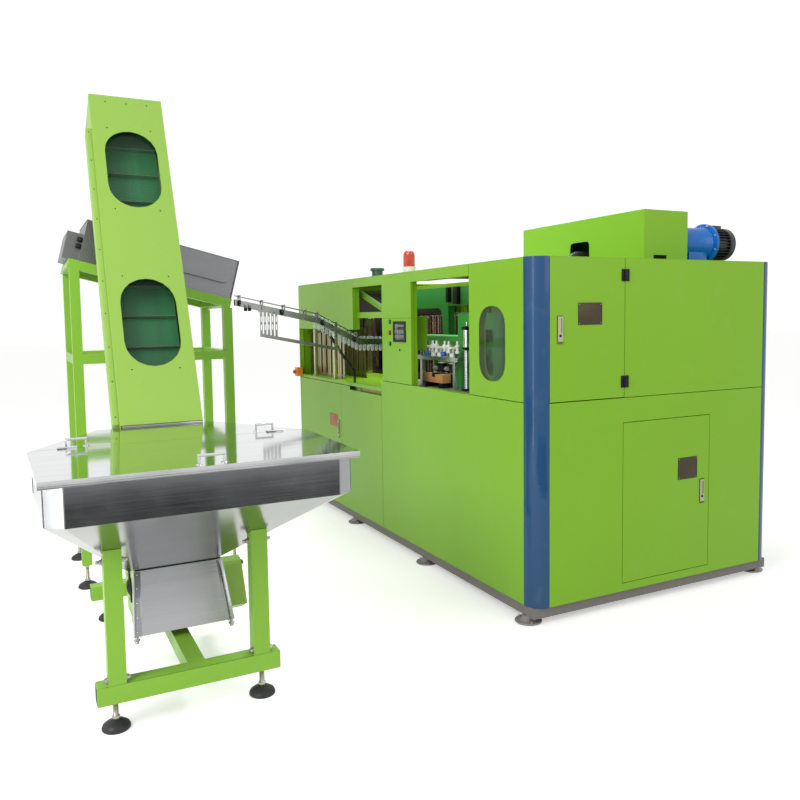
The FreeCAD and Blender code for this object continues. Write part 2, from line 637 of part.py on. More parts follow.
# ---------------------------------------------------------------- cabinet: mechanisms
def portal_frame():
    """Dark green portal plate with rounded inner corners over the transfer path."""
    x0, x1 = PORTAL_X[0], -1965.0
    y0, y1 = PORTAL_Y
    plate = block(x0, x1, y0, y1, DECK_TOP, PORTAL_TOP)
    hole = block(x0 + 90, x1 - 95, y0 - 1, y1 + 1, DECK_TOP - 1, 1800)
    hole = hole.makeFillet(85, [edge for edge in hole.Edges
                                if edge.BoundBox.YLength > 50 and edge.BoundBox.ZMin > 1790])
    beam = block(x1, PORTAL_X[1] - 60, y0, y1, 1815, PORTAL_TOP)
    end_leg = block(PORTAL_X[1] - 60, PORTAL_X[1], y0, y1, BED_TOP, PORTAL_TOP)
    return fused(plate.cut(hole), beam, end_leg)


TURNING_WHEEL = (-3450.0, 610.0)      # X and Y of the upright wheel beside the heating bank


def oven():
    """Stainless heating bank with upright ribs, and the turning wheel at the preforms' entry."""
    body = block(-3600, -2000, 980, 1560, DECK_TOP, 1760)
    ribs = [block(-3600 + 100 * step, -3560 + 100 * step, 950, 980, DECK_TOP + 20, 1740)
            for step in range(16)]
    x, y = TURNING_WHEEL
    wheel = turned(((85, DECK_TOP), (85, 1465), (40, 1466), (40, 1544), (70, 1545), (70, 1725)), x, y, 12)
    return group([fused(body, *ribs), wheel])


def entry_ribs():
    """Upright stainless guard strips at the left of the entry, joined by a foot and a head bar."""
    posts = [block(-3462, -3440, 27, 47, DECK_TOP, 1770), block(-2972, -2950, 27, 47, DECK_TOP, 1720)]
    links = [block(-3458, -3444, 47, 101, 1594, 1616), block(-2968, -2954, 47, 101, 1594, 1616)]
    strips = [block(-3740 + 62 * step, -3700 + 62 * step, 95 + 6 * (step % 2), 101 + 6 * (step % 2),
                    DECK_TOP, 1604) for step in range(14)]
    head = block(-3740, -2894, 101, 108, 1590, 1620)
    foot = block(-3740, -2894, 101, 108, DECK_TOP, DECK_TOP + 30)
    return fused(head, foot, *(strips + posts + links))


PLATEN_X = (-1290.0, -700.0)
TIE_X = (-1240.0, -750.0)
TIE_Z = (1300.0, 1690.0)
PLATEN_TRAVEL = 150.0


def fixed_platen():
    """Rear mould platen with a mould half, the tie bars, the front yoke and its closing cylinder."""
    x0, x1 = PLATEN_X
    plate = block(x0, x1, 1000, 1090, BED_TOP, 1750)
    yoke = block(x0, x1, 300, 360, BED_TOP, 1750)
    opening = block(x0 + 150, x1 - 150, 299, 361, 1340, 1640)
    bars = [bar(22, (x, 300, z), (x, 1090, z), 12) for x in TIE_X for z in TIE_Z]
    x, z = -995.0, 1490.0
    flange = block(x0 + 150, x1 - 150, 346, 360, z - 60, z + 60)
    barrel = bar(60, (x, 245, z), (x, 375, z), 16)
    return fused(plate, mould_half(880, 1000), yoke.cut(opening), flange, barrel, *bars)


def mould_half(y0, y1):
    """Half of a two-cavity mould; the cavities are bottle-shaped hollows in its parting face."""
    body = block(-1170, -820, y0, y1, 1330, 1660)
    face = y0 if y1 > 900 else y1
    for x in (-1080.0, -910.0):
        bottle = turned(((43, 1350), (43, 1560), (14, 1610), (14, 1665)), 0, 0, 10)
        body = body.cut(moved(bottle, x, face))
    return body


def moving_platen():
    """Front mould platen with the other mould half; it slides along the tie bars."""
    x0, x1 = PLATEN_X
    plate = block(x0, x1, 560, 640, 1232, 1750)
    half = mould_half(640, 728)
    whole = fused(plate, half)
    for x in TIE_X:
        for z in TIE_Z:
            whole = whole.cut(bar(22 + RUN, (x, 550, z), (x, 650, z), 12))
    return whole


def blow_head():
    """Stretch and blow head: crossbeam with two nozzles; it comes down onto the mould."""
    beam = block(-1190, -800, 829, 929, 1790, 1830)
    nozzles = []
    for x in (-1080.0, -910.0):
        nozzles.append(bar(24, (x, 879, 1745), (x, 879, 1790), 12))
        nozzles.append(bar(9, (x, 879, 1830), (x, 879, 1955), 12))
    return fused(beam, *nozzles)


def blow_cylinders():
    """Fixed crossbeam on two legs with the bright air cylinders that drive the blow head."""
    beam = block(-1400, -540, 849, 909, 1850, 1890)
    barrels = [bar(32, (x, 879, 1890), (x, 879, 1985), 12) for x in (-1080.0, -910.0)]
    holes = [bar(9 + RUN, (x, 879, 1840), (x, 879, 1990), 12) for x in (-1080.0, -910.0)]
    legs = [block(-1440, -1400, 849, 909, BED_TOP, 1890), block(-540, -500, 1010, 1070, BED_TOP, 1890),
            block(-540, -500, 849, 1010, 1850, 1890)]
    return group([beam.cut(fused(*holes))] + [barrel.cut(hole) for barrel, hole in zip(barrels, holes)]
                 + legs)


def gripper_rail():
    """Aluminium transfer bar with the row of preform grippers and their guide blocks."""
    rail = block(-1680, -1130, 176, 230, 1420, 1448)
    posts = [block(-1660, -1630, 195, 225, BED_TOP, 1420), block(-1190, -1160, 195, 225, BED_TOP, 1420)]
    grippers = []
    for step in range(6):
        x = -1640 + 86 * step
        grippers.append(block(x, x + 40, 185, 225, 1448, 1478))
        grippers.append(bar(11, (x + 20, 205, 1478), (x + 20, 205, 1508)))
        grippers.append(block(x + 6, x + 34, 174, 236, 1508, 1520))
    return fused(rail, *(posts + grippers))


def drive_motors():
    """Black servo motors with gear heads that stand on the bed under the transfer bar."""
    motors = []
    for x in (-1520.0, -1360.0):
        motors.append(fused(block(x - 50, x + 50, 250, 350, BED_TOP, BED_TOP + 95),
                            bar(42, (x, 300, BED_TOP + 95), (x, 300, BED_TOP + 165), 16),
                            block(x - 30, x + 30, 215, 250, BED_TOP + 15, BED_TOP + 60)))
    return group(motors)


# ---------------------------------------------------------------- feeder: stand, bin and lids
FEED_BEAM_Z = (130.0, 210.0)
CENTRE_BEAM_Y = -1836.0
LEG_SPREAD = 312.0


def above_slope():
    """Region above the bin's front slope, to trim the legs to it."""
    run = 4000.0
    rise = (BIN_BEND - THROAT) / 910.0
    y0 = STAND_Y - 600
    return prism(((-470 - 600, y0, THROAT - 600 * rise), (-470 + run, y0, THROAT + run * rise),
                  (-470 + run, y0, 5000), (-470 - 600, y0, 5000)), (0, 1200, 0))


def feeder_stand():
    """Welded green stand of the hopper: cross beam, legs, centre beam and rear cross beam."""
    z0, z1 = FEED_BEAM_Z
    cross = block(-40, 40, STAND_Y - 395, STAND_Y + 395, z0, z1)
    centre = block(-1270, -40, CENTRE_BEAM_Y - 40, CENTRE_BEAM_Y + 40, z0, z1)
    rear = block(-1350, -1270, CENTRE_BEAM_Y - 335, CENTRE_BEAM_Y + 335, z0, z1)
    legs = []
    for side in (-1, 1):
        y = STAND_Y + side * LEG_SPREAD
        leg = block(-37, 37, y - 37, y + 37, z1, 860).cut(above_slope())
        bolts = [bar(7, (-12, y - 62, 728), (-12, y + 62, 728), 6),
                 bar(7, (14, y - 52, z1 + 18), (14, y + 52, z1 + 18), 6)]
        legs.append(fused(leg, *bolts))
    return fused(cross, centre, rear, *legs)


def small_feet():
    """Levelling feet of the feeder and of the unscrambler stand: disc and spindle."""
    places = [(-14, STAND_Y - 320, FEED_BEAM_Z[0]), (-14, STAND_Y + 320, FEED_BEAM_Z[0]),
              (-1310, CENTRE_BEAM_Y - 240, FEED_BEAM_Z[0]), (-1310, CENTRE_BEAM_Y + 240, FEED_BEAM_Z[0])]
    for x in STAND_POSTS_X:
        for y in STAND_POSTS_Y:
            places.append((x + POST / 2, y + POST / 2, 150.0))
    feet = []
    for x, y, top in places:
        feet.append(turned(((60, 0), (60, 10), (12, 42), (12, top)), x, y, 10))
    return group(feet)


BIN_CORNERS = ((440.0, 525.0), (395.0, 592.0), (-240.0, 612.0), (-790.0, 285.0))
LID_CORNERS = ((460.0, 609.0), (-240.0, 630.0), (-800.0, 300.0))
THROAT_CORNERS = ((-470.0, 212.0), (-520.0, 212.0))


def polyhedron(faces):
    """Solid bounded by flat polygons."""
    shell = Part.makeShell([Part.Face(Part.makePolygon([V(*p) for p in face] + [V(*face[0])]))
                            for face in faces])
    solid = Part.makeSolid(shell)
    return solid if solid.Volume > 0 else solid.reversed()


def bin_body(inset, top):
    """Hopper shape: upright octagon over slopes that run down to the throat."""
    ring = [(x - math.copysign(inset, x), half - inset) for x, half in BIN_CORNERS]
    foot = [(THROAT_CORNERS[0][0] - inset, THROAT_CORNERS[0][1] - inset),
            (THROAT_CORNERS[1][0] + inset, THROAT_CORNERS[1][1] - inset)]

    def at(point, side, z):
        return (point[0], BIN_Y + side * point[1], z)

    faces = []
    for side in (-1, 1):
        for first, second in zip(ring, ring[1:]):
            faces.append([at(first, side, top), at(second, side, top),
                          at(second, side, BIN_BEND), at(first, side, BIN_BEND)])
        a, b, c, d = [at(point, side, BIN_BEND) for point in ring]
        e, g = [at(point, side, THROAT) for point in foot]
        faces += [[a, b, e], [b, c, e], [c, g, e], [c, d, g]]
    for point, low in ((ring[0], foot[0]), (ring[3], foot[1])):
        faces.append([at(point, -1, top), at(point, 1, top), at(point, 1, BIN_BEND),
                      at(point, -1, BIN_BEND)])
        faces.append([at(point, -1, BIN_BEND), at(point, 1, BIN_BEND), at(low, 1, THROAT),
                      at(low, -1, THROAT)])
    faces.append([at(ring[0], -1, top), at(ring[1], -1, top), at(ring[2], -1, top),
                  at(ring[3], -1, top), at(ring[3], 1, top), at(ring[2], 1, top),
                  at(ring[1], 1, top), at(ring[0], 1, top)])
    faces.append([at(foot[0], -1, THROAT), at(foot[0], 1, THROAT), at(foot[1], 1, THROAT),
                  at(foot[1], -1, THROAT)])
    return polyhedron(faces)


def elevator_envelope(margin):
    """Space that the elevator takes up, to trim what meets it."""
    half = ELEVATOR_WIDTH / 2 + 3 + margin
    return lean(block(-ELEVATOR_DEPTH - margin, 3 + margin, -half, half, -300, 3300))


def hopper_bin():
    """Open stainless bin with its slopes, folded from sheet."""
    inner = bin_body(2.5, LID_TOP + 4)
    shell = bin_body(0, LID_TOP - SHEET).cut(inner)
    mouth = block(-600, -440, BIN_Y - 209, BIN_Y + 209, THROAT - 5, THROAT + 3)
    return shell.cut(mouth).cut(elevator_envelope(0.5))


def lid_sheet():
    """Whole lid with its folded-down edge, before it is split at the hinge line."""
    outline = [(x, BIN_Y - half, LID_TOP - 28) for x, half in LID_CORNERS]
    outline += [(x, BIN_Y + half, LID_TOP - 28) for x, half in reversed(LID_CORNERS)]
    inner = [(x - math.copysign(SHEET, x), BIN_Y - half + SHEET, LID_TOP - 30)
             for x, half in LID_CORNERS]
    inner += [(x - math.copysign(SHEET, x), BIN_Y + half - SHEET, LID_TOP - 30)
              for x, half in reversed(LID_CORNERS)]
    return prism(outline, (0, 0, 28)).cut(prism(inner, (0, 0, 28)))


HINGE_LINE = (-260.0, LID_TOP + 5)    # X and Z of the lid's hinge pins
LID_HINGES = (-470.0, 470.0)


def u_handle(x, y, along, height=34.0):
    """Bright bar handle on the lid, along Y."""
    half = along / 2
    top = LID_TOP + height
    return fused(block(x - 4, x + 4, y - half, y - half + 8, LID_TOP, top),
                 block(x - 4, x + 4, y + half - 8, y + half, LID_TOP, top),
                 bar(6, (x, y - half, top), (x, y + half, top)))


def lid_knuckles(side):
    """Knuckles on one side of the lid's hinge line; side is +1 for the flap, -1 for the rear lid."""
    x, z = HINGE_LINE
    pieces = []
    for station in LID_HINGES:
        y0 = BIN_Y + station + (1 if side > 0 else -40)
        near, far = sorted((x + side * 0.5, x + side * 22))
        leaf = block(near, far, y0, y0 + 39, LID_TOP, LID_TOP + 4)
        pieces.append(fused(bar(4.5, (x, y0, z), (x, y0 + 39, z)), leaf))
    return pieces


def hopper_flap():
    """Front flap of the lid with its handle and hinge knuckles."""
    x, z = HINGE_LINE
    flap = lid_sheet().common(block(-258, 500, -3000, 0, 1100, 1300))
    hole = bore(2 + RUN, (x, BIN_Y - 700, z), (x, BIN_Y + 700, z))
    knuckles = [piece.cut(hole) for piece in lid_knuckles(1)]
    return fused(flap, u_handle(415, BIN_Y + 5, 106), *knuckles)


def hopper_rear_lid():
    """Rear lid around the elevator, with two handles and the hinge pins."""
    x, z = HINGE_LINE
    lid = lid_sheet().common(block(-900, -262, -3000, 0, 1100, 1300))
    lid = lid.cut(elevator_envelope(1.0))
    pins = [bar(2, (x, BIN_Y + at - 40, z), (x, BIN_Y + at + 40, z)) for at in LID_HINGES]
    handles = [u_handle(-300, BIN_Y + side * 430, 90) for side in (-1, 1)]
    return fused(lid, *(pins + lid_knuckles(-1) + handles))


# ---------------------------------------------------------------- feeder: elevator
ELEVATOR_WINDOWS = (1640.0, 2640.0)
COVER_FROM = 1048.0
HALF_WIDTH = ELEVATOR_WIDTH / 2
OUTLET = (2700.0, 2940.0)             # discharge opening in the back, up the incline


def below_floor_line(z):
    """Everything below a level, to trim the elevator's foot."""
    return block(-3000, 1000, -3000, -1000, -500, z)


def elevator_casing():
    """Green channel of the elevator: two cheeks, back plate, head cap, chute and foot bracket."""
    depth = ELEVATOR_DEPTH
    cheek = block(-depth, -1, -HALF_WIDTH, -HALF_WIDTH + 3, -150, ELEVATOR_LENGTH)
    other = moved(cheek, y=ELEVATOR_WIDTH - 3)
    back = block(-depth, -depth + 3, -HALF_WIDTH, HALF_WIDTH, -150, ELEVATOR_LENGTH)
    low, high = OUTLET
    back = back.cut(block(-depth - 1, -depth + 4, -172, 172, low, high))
    cap = block(-depth, -1, -HALF_WIDTH, HALF_WIDTH, ELEVATOR_LENGTH - 3, ELEVATOR_LENGTH)
    flanges = [block(-19, -1, side * HALF_WIDTH - (18 if side > 0 else 0),
                     side * HALF_WIDTH + (18 if side < 0 else 0), COVER_FROM, ELEVATOR_LENGTH)
               for side in (-1, 1)]
    body = fused(cheek, other, back, cap, *flanges)
    for at in (TAIL_DRUM_AT, HEAD_DRUM_AT):
        body = body.cut(bore(15 + RUN, (-BELT_DEPTH, -300, at), (-BELT_DEPTH, 300, at), 16))
    # chute that drops the preforms into the unscrambler
    floor = prism(((-depth + 3, -175, low - 3), (-570, -175, low - 62), (-570, -175, low - 59),
                   (-depth + 3, -175, low)), (0, 350, 0))
    side = prism(((-depth, -175, low), (-570, -175, low - 60), (-570, -175, low + 60),
                  (-depth, -175, low + 200)), (0, 3, 0))
    body = lean(fused(body, floor, side, moved(side, y=347))).cut(below_floor_line(240))
    foot = block(-640, -480, ELEVATOR_Y - HALF_WIDTH, ELEVATOR_Y + HALF_WIDTH, FEED_BEAM_Z[1], 243)
    return fused(body, foot)


def elevator_cover():
    """Front cover of the elevator with two slot-shaped windows and folded cheeks."""
    outer = HALF_WIDTH + GAP + SHEET
    face = block(0, SHEET, -outer, outer, COVER_FROM, ELEVATOR_LENGTH)
    sides = [block(-40, SHEET, side * outer - (SHEET if side > 0 else 0),
                   side * outer + (SHEET if side < 0 else 0), COVER_FROM, ELEVATOR_LENGTH)
             for side in (-1, 1)]
    cover = fused(face, *sides)
    for at in ELEVATOR_WINDOWS:
        slot = rounded_slot(298, 532, 149, 40)
        slot.rotate(V(0, 0, 0), V(0, 0, 1), 90)
        cover = cover.cut(moved(slot, x=20, z=at))
    return lean(cover)


def boot_apron():
    """Stainless apron below the throat with two tension screws at its foot."""
    top, foot = 214.0, 236.0
    face = prism(((3, -foot, 0), (3, foot, 0), (3, top, 303), (3, -top, 303)), (2, 0, 0))
    cheeks = [prism(((-46, side * foot, 0), (5, side * foot, 0), (5, side * top, 303),
                     (-46, side * top, 303)), (0, side * 2, 0)) for side in (-1, 1)]
    screws = [bar(9, (-20, side * (foot - 10), -26), (-20, side * (foot - 10), 8))
              for side in (-1, 1)]
    tabs = [block(-46, 4, min(side * (foot - 22), side * foot), max(side * (foot - 22), side * foot),
                  0, 3) for side in (-1, 1)]
    return lean(fused(face, *(cheeks + screws + tabs)))


def elevator_belt():
    """Endless conveyor belt with upright cleats, wrapped round both drums."""
    inner = DRUM_RADIUS + GAP
    outer = inner + BELT_GAUGE

    def loop(radius, half):
        straight = block(-BELT_DEPTH - radius, -BELT_DEPTH + radius, -half, half,
                         TAIL_DRUM_AT, HEAD_DRUM_AT)
        ends = [bore(radius, (-BELT_DEPTH, -half, at), (-BELT_DEPTH, half, at), 24)
                for at in (TAIL_DRUM_AT, HEAD_DRUM_AT)]
        return fused(straight, *ends)

    half = BELT_WIDTH / 2
    belt = loop(outer, half).cut(loop(inner, half + 1))
    cleats = []
    count = int((HEAD_DRUM_AT - TAIL_DRUM_AT) // CLEAT_PITCH)
    for step in range(count):
        at = TAIL_DRUM_AT + CLEAT_PITCH * (step + 0.7)
        front = -BELT_DEPTH + outer
        rear = -BELT_DEPTH - outer
        cleats.append(block(front - 1, front + CLEAT_HEIGHT, -half + 8, half - 8, at, at + 5))
        cleats.append(block(rear - CLEAT_HEIGHT, rear + 1, -half + 8, half - 8, at, at + 5))
    return lean(fused(belt, *cleats))


def drum(at, left, right):
    """Belt drum with its shaft ends."""
    shell = bar(DRUM_RADIUS, (-BELT_DEPTH, -BELT_WIDTH / 2 - 4, at),
                (-BELT_DEPTH, BELT_WIDTH / 2 + 4, at), 20)
    shaft = bar(15, (-BELT_DEPTH, left, at), (-BELT_DEPTH, right, at), 16)
    return lean(fused(shell, shaft))


def elevator_drive():
    """Green chain guard on the boot's cheek with the gear motor behind it."""
    y0, y1 = HALF_WIDTH + 3, HALF_WIDTH + 130
    guard = fused(block(-260, -110, y0, y1, TAIL_DRUM_AT - 190, TAIL_DRUM_AT),
                  bar(75, (-BELT_DEPTH + 15, y0, TAIL_DRUM_AT), (-BELT_DEPTH + 15, y1, TAIL_DRUM_AT), 24))
    guard = guard.cut(bore(15 + RUN, (-BELT_DEPTH, y0 - 1, TAIL_DRUM_AT),
                           (-BELT_DEPTH, y1 - 20, TAIL_DRUM_AT), 16))
    y = (y0 + y1) / 2
    motor = fused(block(-330, -260, y - 42, y + 42, TAIL_DRUM_AT - 170, TAIL_DRUM_AT - 60),
                  bar(40, (-500, y, TAIL_DRUM_AT - 115), (-330, y, TAIL_DRUM_AT - 115), 16))
    return lean(fused(guard, motor))


# ---------------------------------------------------------------- unscrambler and feed rail
def beam_underside():
    """Region above the underside of the sloping beams, to trim the posts to it."""
    return slope(block(-3000, 3000, -3000, 4000, -POST, 3000))


def unscrambler_stand():
    """Green four-legged stand with sloping top beams, mid rails and a tie to the elevator."""
    x_front, x_back = STAND_POSTS_X
    y_left, y_right = STAND_POSTS_Y
    z0, z1 = 1460.0, 1520.0
    top = beam_underside()
    pieces = []
    for x in (x_front, x_back):
        for y in (y_left, y_right):
            pieces.append(block(x, x + POST, y, y + POST, 150, 2400).cut(top))
        beam_x = x - TROUGH_CORNER[0]
        pieces.append(slope(block(beam_x, beam_x + POST, -60, TROUGH_LENGTH, -POST, 0)))
        pieces.append(block(x, x + POST, y_left + POST, y_right, z0, z1))
    inner0, inner1 = x_back + POST - TROUGH_CORNER[0], x_front - TROUGH_CORNER[0]
    for y in (-60.0, TROUGH_LENGTH - POST):
        pieces.append(slope(block(inner0, inner1, y, y + POST, -POST, 0)))
    for y in (y_left, y_right):
        pieces.append(block(x_back + POST, x_front, y, y + POST, z0, z1))
    tie = block(x_front + POST, -1300, ELEVATOR_Y - 30, ELEVATOR_Y + 30, z0, z1)
    pieces.append(tie.cut(elevator_envelope(0.0)).common(block(-1914, -1365, -3000, 0, 0, 3000)))
    return fused(*pieces)


def unscrambler_trough():
    """Grey sheet trough: cheeks, end plates, inner slides, obround side cover and drive box."""
    width, length, height = TROUGH_WIDTH, TROUGH_LENGTH, TROUGH_HEIGHT
    cheeks = [block(-3, 0, 0, length, 0, height), block(-width, -width + 3, 0, length, 0, height)]
    upper = block(-width, 0, 0, 4, 0, height)
    lower = block(-width, 0, length - 4, length, 0, height)
    exit_slot = block(-width / 2 - 45, -width / 2 + 45, length - 5, length + 1, -1, ROLLER_LEVEL + 60)
    flange = block(0, 14, length - 4, length, 0, height)
    slides = []
    for low_x, high_x in ((-width / 2 + 92, -3), (-width / 2 - 92, -width + 3)):
        slides.append(prism(((low_x, 4, 172), (high_x, 4, 235), (high_x, 4, 238), (low_x, 4, 175)),
                            (0, length - 8, 0)))
    bars = [block(-width + 3, -width / 2 - 60, 40, 70, 0, 30),
            block(-width / 2 + 60, -3, 40, 70, 0, 30)]
    radius, low_y, high_y, mid = 52.0, 210.0, 915.0, 150.0
    cover = fused(block(0, 22, low_y, high_y, mid - radius, mid + radius),
                  bar(radius, (0, low_y, mid), (22, low_y, mid), 16),
                  bar(radius, (0, high_y, mid), (22, high_y, mid), 16))
    body = fused(*(cheeks + [upper, lower.cut(exit_slot), flange] + slides + bars), cover)
    for side in (-1, 1):
        x = -width / 2 + side * (ROLLER_RADIUS + ROLLER_GAP / 2)
        body = body.cut(bore(12 + RUN, (x, -1, ROLLER_LEVEL), (x, 5, ROLLER_LEVEL), 16))
        plate = block(x - 22 if side < 0 else x - 4, x + 4 if side < 0 else x + 22, length - 4,
                      length, ROLLER_LEVEL - 26, ROLLER_LEVEL + 26)
        body = fused(body, plate)
        body = body.cut(bore(12 + RUN, (x, length - 5, ROLLER_LEVEL), (x, length + 1, ROLLER_LEVEL), 16))
    box = block(-580, -70, -98, 0, 2, 180)
    knobs = [bar(11, (-40, -34, 96), (-40, 0, 96)), bar(11, (-40, -34, 140), (-40, 0, 140))]
    return slope(fused(body, box, *knobs))


def roller(side):
    """Unscrambler roller with its journals; preforms hang in the slot between the two."""
    x = -TROUGH_WIDTH / 2 + side * (ROLLER_RADIUS + ROLLER_GAP / 2)
    body = bar(ROLLER_RADIUS, (x, 12, ROLLER_LEVEL), (x, TROUGH_LENGTH - 12, ROLLER_LEVEL), 20)
    journal = bar(12, (x, 0.5, ROLLER_LEVEL), (x, TROUGH_LENGTH, ROLLER_LEVEL), 16)
    return slope(fused(body, journal))


def rail_outline(low, high):
    """Closed YZ outline that follows the rail between two heights above its path."""
    upper = [(RAIL_X, y, z + high) for y, z in RAIL_PATH]
    lower = [(RAIL_X, y, z + low) for y, z in reversed(RAIL_PATH)]
    return upper + lower


def feed_rail():
    """Gravity rail: two side bars, a hold-down bar, yokes, knobs, lower arm and its comb."""
    bars = [moved(prism(rail_outline(-45, 0), (8, 0, 0)), x=14),
            moved(prism(rail_outline(-45, 0), (8, 0, 0)), x=-22)]
    keeper = [(RAIL_X, y, z + 31) for y, z in RAIL_PATH[:3]]
    keeper += [(RAIL_X, y, z + 21) for y, z in reversed(RAIL_PATH[:3])]
    bars.append(moved(prism(keeper, (8, 0, 0)), x=-4))
    yokes = []
    drop = (RAIL_PATH[1][1] - RAIL_PATH[0][1]) / (RAIL_PATH[1][0] - RAIL_PATH[0][0])
    for y in (-1000, -830, -660, -490, -395):
        z = RAIL_PATH[0][1] + drop * (y - RAIL_PATH[0][0])
        frame = block(RAIL_X - 32, RAIL_X + 32, y, y + 10, z - 40, z + 38)
        hole = block(RAIL_X - 22, RAIL_X + 22, y - 1, y + 11, z - 60, z + 26)
        yokes.append(frame.cut(hole))
    last = block(RAIL_X - 32, RAIL_X + 32, -60, -50, 1535, 1614)
    yokes.append(last.cut(block(RAIL_X - 22, RAIL_X + 22, -61, -49, 1500, 1600)))
    knobs = []
    for y in (-955, -925):
        knobs.append(bar(8, (RAIL_X + 26, y, 1796), (RAIL_X + 26, y, 1832)))
        knobs.append(block(RAIL_X + 22, RAIL_X + 34, y - 8, y + 8, 1832, 1840))
    return fused(*(bars + yokes + knobs + rail_comb()))


def rail_comb():
    """Square arm under the rail and the perforated uprights that hang it from the side bar."""
    x0, x1 = RAIL_X + 60, RAIL_X + 85
    arm = prism(((x0, -860, 1600), (x0, -230, 1473), (x0, -230, 1498), (x0, -860, 1625)),
                (x1 - x0, 0, 0))
    pieces = [arm, block(RAIL_X + 22, x0 + 4, -858, -720, 1782, 1800)]
    for step in range(5):
        y = -858 + 29 * step
        strip = block(x0, x0 + 4, y, y + 18, 1600 - 6 * step, 1800)
        for z in (1650, 1710):
            strip = strip.cut(block(x0 - 1, x0 + 5, y + 5, y + 13, z, z + 40))
        pieces.append(strip)
    pieces.append(block(x0, x0 + 4, -262, -240, 1480, 1700))
    pieces.append(block(RAIL_X + 22, x0 + 4, -262, -240, 1640, 1660))
    return pieces


def rail_struts():
    """Twin black struts from the rail down to pins in the deck, and the rail's inner post."""
    pieces = []
    for shift in (0.0, 26.0):
        low = (-2546 + shift, 40, 1266)
        pieces.append(bar(8, (RAIL_X - 60 + shift, -361, 1745), low, 12))
        pieces.append(bar(5, (low[0], low[1], DECK_TOP), low))
    head = block(RAIL_X - 72, RAIL_X - 22, -373, -350, 1705, 1757)
    post = block(RAIL_X - 62, RAIL_X - 22, 400, 440, DECK_TOP, 1540)
    return group([fused(head, *pieces), post])


# ---------------------------------------------------------------- parts list
PARTS = {
    "base_frame": base_frame,
    "machine_feet": machine_feet,
    "main_frame": main_frame,
    "machine_bed": machine_bed,
    "entry_deck": entry_deck,
    "corner_columns": corner_columns,
    "front_lower_panels": front_lower_panels,
    "control_fascia": control_fascia,
    "operator_screen": operator_screen,
    "front_upper_panels": front_upper_panels,
    "window_panes": window_panes,
    "end_panels": end_panels,
    "back_covers": back_covers,
    "roof": roof,
    "roof_box": roof_box,
    "fan_housing": fan_housing,
    "fan_motor": fan_motor,
    "beacon_dome": beacon_dome,
    "vent_cap": vent_cap,
    "emergency_box": emergency_box,
    "portal_frame": portal_frame,
    "oven": oven,
    "entry_ribs": entry_ribs,
    "fixed_platen": fixed_platen,
    "blow_cylinders": blow_cylinders,
    "gripper_rail": gripper_rail,
    "drive_motors": drive_motors,
    "feeder_stand": feeder_stand,
    "small_feet": small_feet,
    "hopper_bin": hopper_bin,
    "hopper_rear_lid": hopper_rear_lid,
    "elevator_casing": elevator_casing,
    "elevator_cover": elevator_cover,
    "elevator_belt": elevator_belt,
    "boot_apron": boot_apron,
    "elevator_drive": elevator_drive,
    "unscrambler_stand": unscrambler_stand,
    "unscrambler_trough": unscrambler_trough,
    "feed_rail": feed_rail,
    "rail_struts": rail_struts,
    "end_upper_door": end_upper_door,
    "end_lower_door": end_lower_door,
    "front_door": front_door,
    "upper_lever": lambda: on_right_end(lever(*LEVERS["upper"])),
    "lower_lever": lambda: on_right_end(lever(*LEVERS["lower"])),
    "front_lever": lambda: lever(*LEVERS["front"]),
    "sliding_door": sliding_door,
    "sliding_door_pane": sliding_door_pane,
    "start_button": lambda: push_button(BUTTONS_Z[0]),
    "halt_button": lambda: push_button(BUTTONS_Z[1]),
    "reset_button": lambda: push_button(BUTTONS_Z[2]),
    "emergency_button": emergency_button,
    "moving_platen": moving_platen,
    "blow_head": blow_head,
    "hopper_flap": hopper_flap,
    "tail_drum": lambda: drum(TAIL_DRUM_AT, -209.0, 319.0),
    "head_drum": lambda: drum(HEAD_DRUM_AT, -209.0, 209.0),
    "roller_front": lambda: roller(1),
    "roller_back": lambda: roller(-1),
}


def build():
    """Make every part and move the whole so that its box is centred over the origin."""
    shapes = {name: make() for name, make in PARTS.items()}
    whole = Part.makeCompound(list(shapes.values())).BoundBox
    shift = V(-(whole.XMin + whole.XMax) / 2, -(whole.YMin + whole.YMax) / 2, -whole.ZMin)
    for shape in shapes.values():
        shape.translate(shift)
    return shapes, shift


os.makedirs("parts", exist_ok=True)
finished, origin_shift = build()
for part_name, part_shape in finished.items():
    part_shape.exportStep("parts/" + part_name + ".step")
print("origin shift", origin_shift)
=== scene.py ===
"""Looks of a stretch blow moulding machine: finishes, fittings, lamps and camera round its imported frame.

New pieces are laid out in millimetres in the machine's layout frame: X runs along the long front with 0 at
its right end, Y runs from the front to the back and Z is up from the floor. Form.place() turns them into
metres in the row frame.
"""
import logging
import math
from dataclasses import dataclass
from enum import Enum
from functools import lru_cache, partialmethod
from typing import Iterable, Mapping, Optional, Sequence, Union

import bmesh
import bpy
from mathutils import Matrix, Vector


